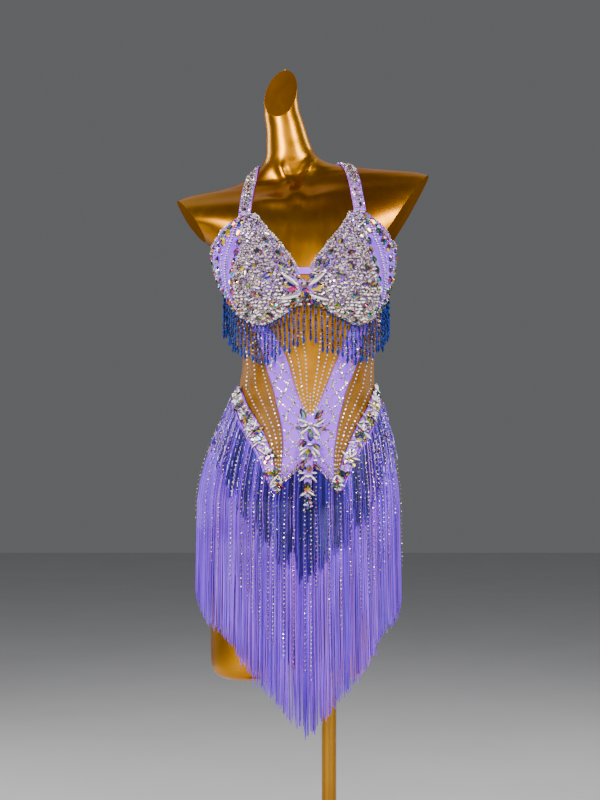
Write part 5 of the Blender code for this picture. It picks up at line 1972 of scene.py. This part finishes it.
def row_of(stones, chance, places, step, size):
    """Small silvery stones at even distances along a line of (angle, height)."""
    walked, before = step, None
    for angle, height in places:
        spot = on_cloth(angle, height)
        if before:
            walked += (spot.place - before.place).length
        before = spot
        if walked >= step:
            walked = 0.0
            stones.stone(spot, size * chance.uniform(0.92, 1.1), chance.uniform(0, 60), SILVER, flat=0.75)


def fine_levels(low, high, count=400):
    return [low + (high - low) * i / count for i in range(count + 1)]


def make_body_rows():
    """Rows that meet at the point of the front net, rows down the side nets, and the lattice."""
    chance = random.Random(101)
    stones = Strewn(chance)
    for side in (-1, 1):
        for share, lowest in ((0.25, 0.99), (0.54, 0.974), (0.84, 0.966)):
            places = [(side * edge_angle(V_INNER, h, 0.0006) * share, h) for h in fine_levels(lowest, 1.15)
                      if h < bra_line(side * edge_angle(V_INNER, h) * share) - 0.042]
            row_of(stones, chance, places, 0.0064, 0.0034)
    row_of(stones, chance, [(0, h) for h in fine_levels(0.964, 1.004)], 0.0052, 0.003)
    for side in (-1, 1):
        for share in (0.13, 0.42, 0.74):
            places = []
            for h in fine_levels(ROWS_FROM, 1.15):
                inner, outer = edge_angle(V_OUTER, h), hip_angle(h)
                angle = inner + (outer - inner) * share
                if outer - inner > 1.2 and above_hip(angle) + 0.003 < h < bra_line(angle) - 0.004:
                    places.append((side * angle, h))
            row_of(stones, chance, places, 0.0068, 0.0033)
        lattice(stones, chance, side)
    stones.joined("body_stones", STONE, "crystal")


@lru_cache(maxsize=None)
def hip_angle(height):
    """The angle at which the hip seam passes a height, and a line above it that leans back."""
    if height > 1.01:
        return 76 + (height - 1.01) * 60
    angle = 17.0
    while line_height(HIP_SEAM, angle) < height and angle < 76:
        angle += 0.25
    return angle


LATTICE_HIGH, LATTICE_WIDE = 0.028, 0.023     # one mesh of the lattice
ROWS_FROM = 0.862       # the lowest height of a stone on the body


def lattice(stones, chance, side):
    """A net of small stones over a V band, its lines a little wavy."""
    step = 0.0035
    slope = LATTICE_HIGH / LATTICE_WIDE
    for lean in (-1, 1):
        for n in range(-2, 14):
            run = -0.04
            while run < 0.04:
                height = ROWS_FROM + n * LATTICE_HIGH + lean * run * slope
                wave = 0.0013 * sin(2 * pi * (height - ROWS_FROM) / LATTICE_HIGH) * lean
                run += step / hypot(1, slope)
                if not ROWS_FROM < height < 1.14:
                    continue
                inner, outer = edge_angle(V_INNER, height, 0.0022), edge_angle(V_OUTER, height, -0.0022)
                middle = (edge_angle(V_INNER, height) + edge_angle(V_OUTER, height)) / 2
                angle = middle + degrees((run + wave) / girth("half_width", height))
                if inner < angle < outer and above_hip(angle) + 0.002 < height < bra_line(angle) - 0.006:
                    size = chance.uniform(0.0035, 0.0042)
                    spot = on_cloth(side * angle, height)
                    stones.stone(spot, size, chance.uniform(0, 60), CHAIN_GLASS, uneven=2 * LEAN)


def make_strap_stones():
    """Close rows of small stones over each strap, with a bigger one at every few rows."""
    chance = random.Random(107)
    stones = Strewn(chance)
    out = EASE + STRAP_CLOTH + 0.0003
    pitch = 0.0038
    rows, columns = 104, 5
    for side in (-1, 1):
        for row in range(rows):
            share = 0.01 + 0.978 * (row + 0.5) / rows
            count = columns - row % 2
            for column in range(count):
                across = (column - (count - 1) / 2) * pitch + chance.gauss(0, 0.0002)
                size = chance.uniform(0.0034, 0.0043)
                tints = chance.choice((WARM, CLEAR, DARK_GLASS, DARK_GLASS, CHAIN_GLASS))
                spot = strap_spot(SURFACE, side, share + chance.uniform(-0.001, 0.001), across, out)
                stones.stone(spot, size, chance.uniform(0, 60), tints, uneven=1.4 * LEAN)
        share = 0.03
        while share < 0.97:
            spot = strap_spot(SURFACE, side, share, chance.uniform(-0.002, 0.002), out + 0.0012)
            stones.add(chance.choice((OVAL, DROP, CHATON)), spot, (0.0095, 0.007, 0.004),
                       chance.choice((90, 75, 105)), AURORA if chance.random() < 0.6 else DARK_GLASS)
            share += 0.037
    stones.joined("strap_stones", STONE, "crystal")


# ================ sewing
STITCH_TINT = ((0.2, 0.07, 0.55),)


def stitched(threads, places, spots):
    """Stitches laid end to end along a line of places."""
    walked, before = 0.0, None
    for place in places:
        spot = spots(*place)
        if before:
            run = spot.place - before.place
            walked += run.length
            if walked >= 0.0034:
                walked = 0.0
                threads.add(SEED, spot, (0.0022, 0.00055, 0.00045), turn_of(run, spot), STITCH_TINT)
        before = spot


def make_sewing():
    """Topstitching beside the seams, at the hems of the bands and round the cups."""
    threads = Strewn(random.Random(113))
    for side in (-1, 1):
        for edge, moved in ((V_INNER, 0.0014), (V_OUTER, -0.0014), (V_INNER, -0.0016), (V_OUTER, 0.0016)):
            places = [(side * edge_angle(edge, h, moved), h) for h in fine_levels(0.86, 1.14)
                      if edge_angle(edge, h) > 1 and above_hip(edge_angle(edge, h, moved)) < h
                      < bra_line(edge_angle(edge, h, moved)) - 0.003]
            stitched(threads, places, on_cloth)
        for aside in (-0.9, 0.9):
            stitched(threads, [(side * 90 + aside, h) for h in fine_levels(1.02, 1.168)], on_cloth)

    def band(angle, height):
        return on_body(angle, height, EASE + STRAP_CLOTH + crease(angle, height))

    def tape(angle, height):
        return on_body(angle, height, ON_SLIP + 0.0033)
    for level in (BAND_BOTTOM + EDGE_GAP + 0.0028, BAND_TOP - 0.0022):
        stitched(threads, [(a, level) for a in fine_levels(BAND_START + 1, 359 - BAND_START, 900)], band)
    for inset in (0.0012, TAPE_HEIGHT - 0.0012):
        stitched(threads, [(a, heading_line(a) - inset) for a in fine_levels(82, 278, 900)], tape)
    for side in (-1, 1):
        def strap_line(share, across, side=side):
            return strap_spot(SURFACE, side, share, across, EASE + STRAP_CLOTH + 0.0003)
        for across in (-STRAP_WIDTH / 2 + 0.0008, STRAP_WIDTH / 2 - 0.0008):
            stitched(threads, [(share, across) for share in fine_levels(0.005, 0.995, 500)], strap_line)
    threads.joined("topstitching", SEWING, "lilac_cloth", smooth=True)


make_tapes()
make_long_fringe()
make_short_fringe()
make_bust_fringe()
make_side_strands()
make_chains()
for cup_side, cup_label in SIDES:
    make_cup_stones(cup_side, cup_label)
    make_hip_crystals(cup_side, cup_label)
make_bow()
make_column()
make_body_rows()
make_strap_stones()
make_sewing()

# ================ how the cloth was cut
Cut = namedtuple("Cut", "piece held rests_on width length area")
# flat sizes before sewing; pieces held stretched were cut about an eighth smaller than they lie
CUTS = rows_of(
    Cut,
    ("front_net", "stretched", "torso_form", 0.134, 0.185, 0.0128),
    ("v_band_left", "stretched", "torso_form", 0.049, 0.276, 0.0088),
    ("v_band_right", "stretched", "torso_form", 0.049, 0.276, 0.0088),
    ("side_net_left", "stretched", "torso_form", 0.107, 0.288, 0.0134),
    ("side_net_right", "stretched", "torso_form", 0.107, 0.288, 0.0134),
    ("back_net", "stretched", "torso_form", 0.335, 0.155, 0.0451),
    ("underskirt_front", "hung", "torso_form", 0.552, 0.328, 0.102),
    ("underskirt_back", "hung", "torso_form", 0.458, 0.328, 0.1327),
    ("gore_band", "stretched", "cup_left_cover", 0.023, 0.0115, 0.00026),
    ("back_band_cover", "stretched", "torso_form", 0.37, 0.034, 0.0118),
    ("strap_left_cover", "stretched", "torso_form", 0.019, 0.35, 0.00665),
    ("strap_right_cover", "stretched", "torso_form", 0.019, 0.35, 0.00665),
    ("bow_backing", "laid", "cup_left_cover", 0.044, 0.036, 0.00096),
    ("column_backing", "laid", "v_band_left", 0.017, 0.192, 0.0022),
    ("hip_backing_left", "laid", "underskirt_front", 0.193, 0.039, 0.0036),
    ("hip_backing_right", "laid", "underskirt_front", 0.193, 0.039, 0.0036),
)
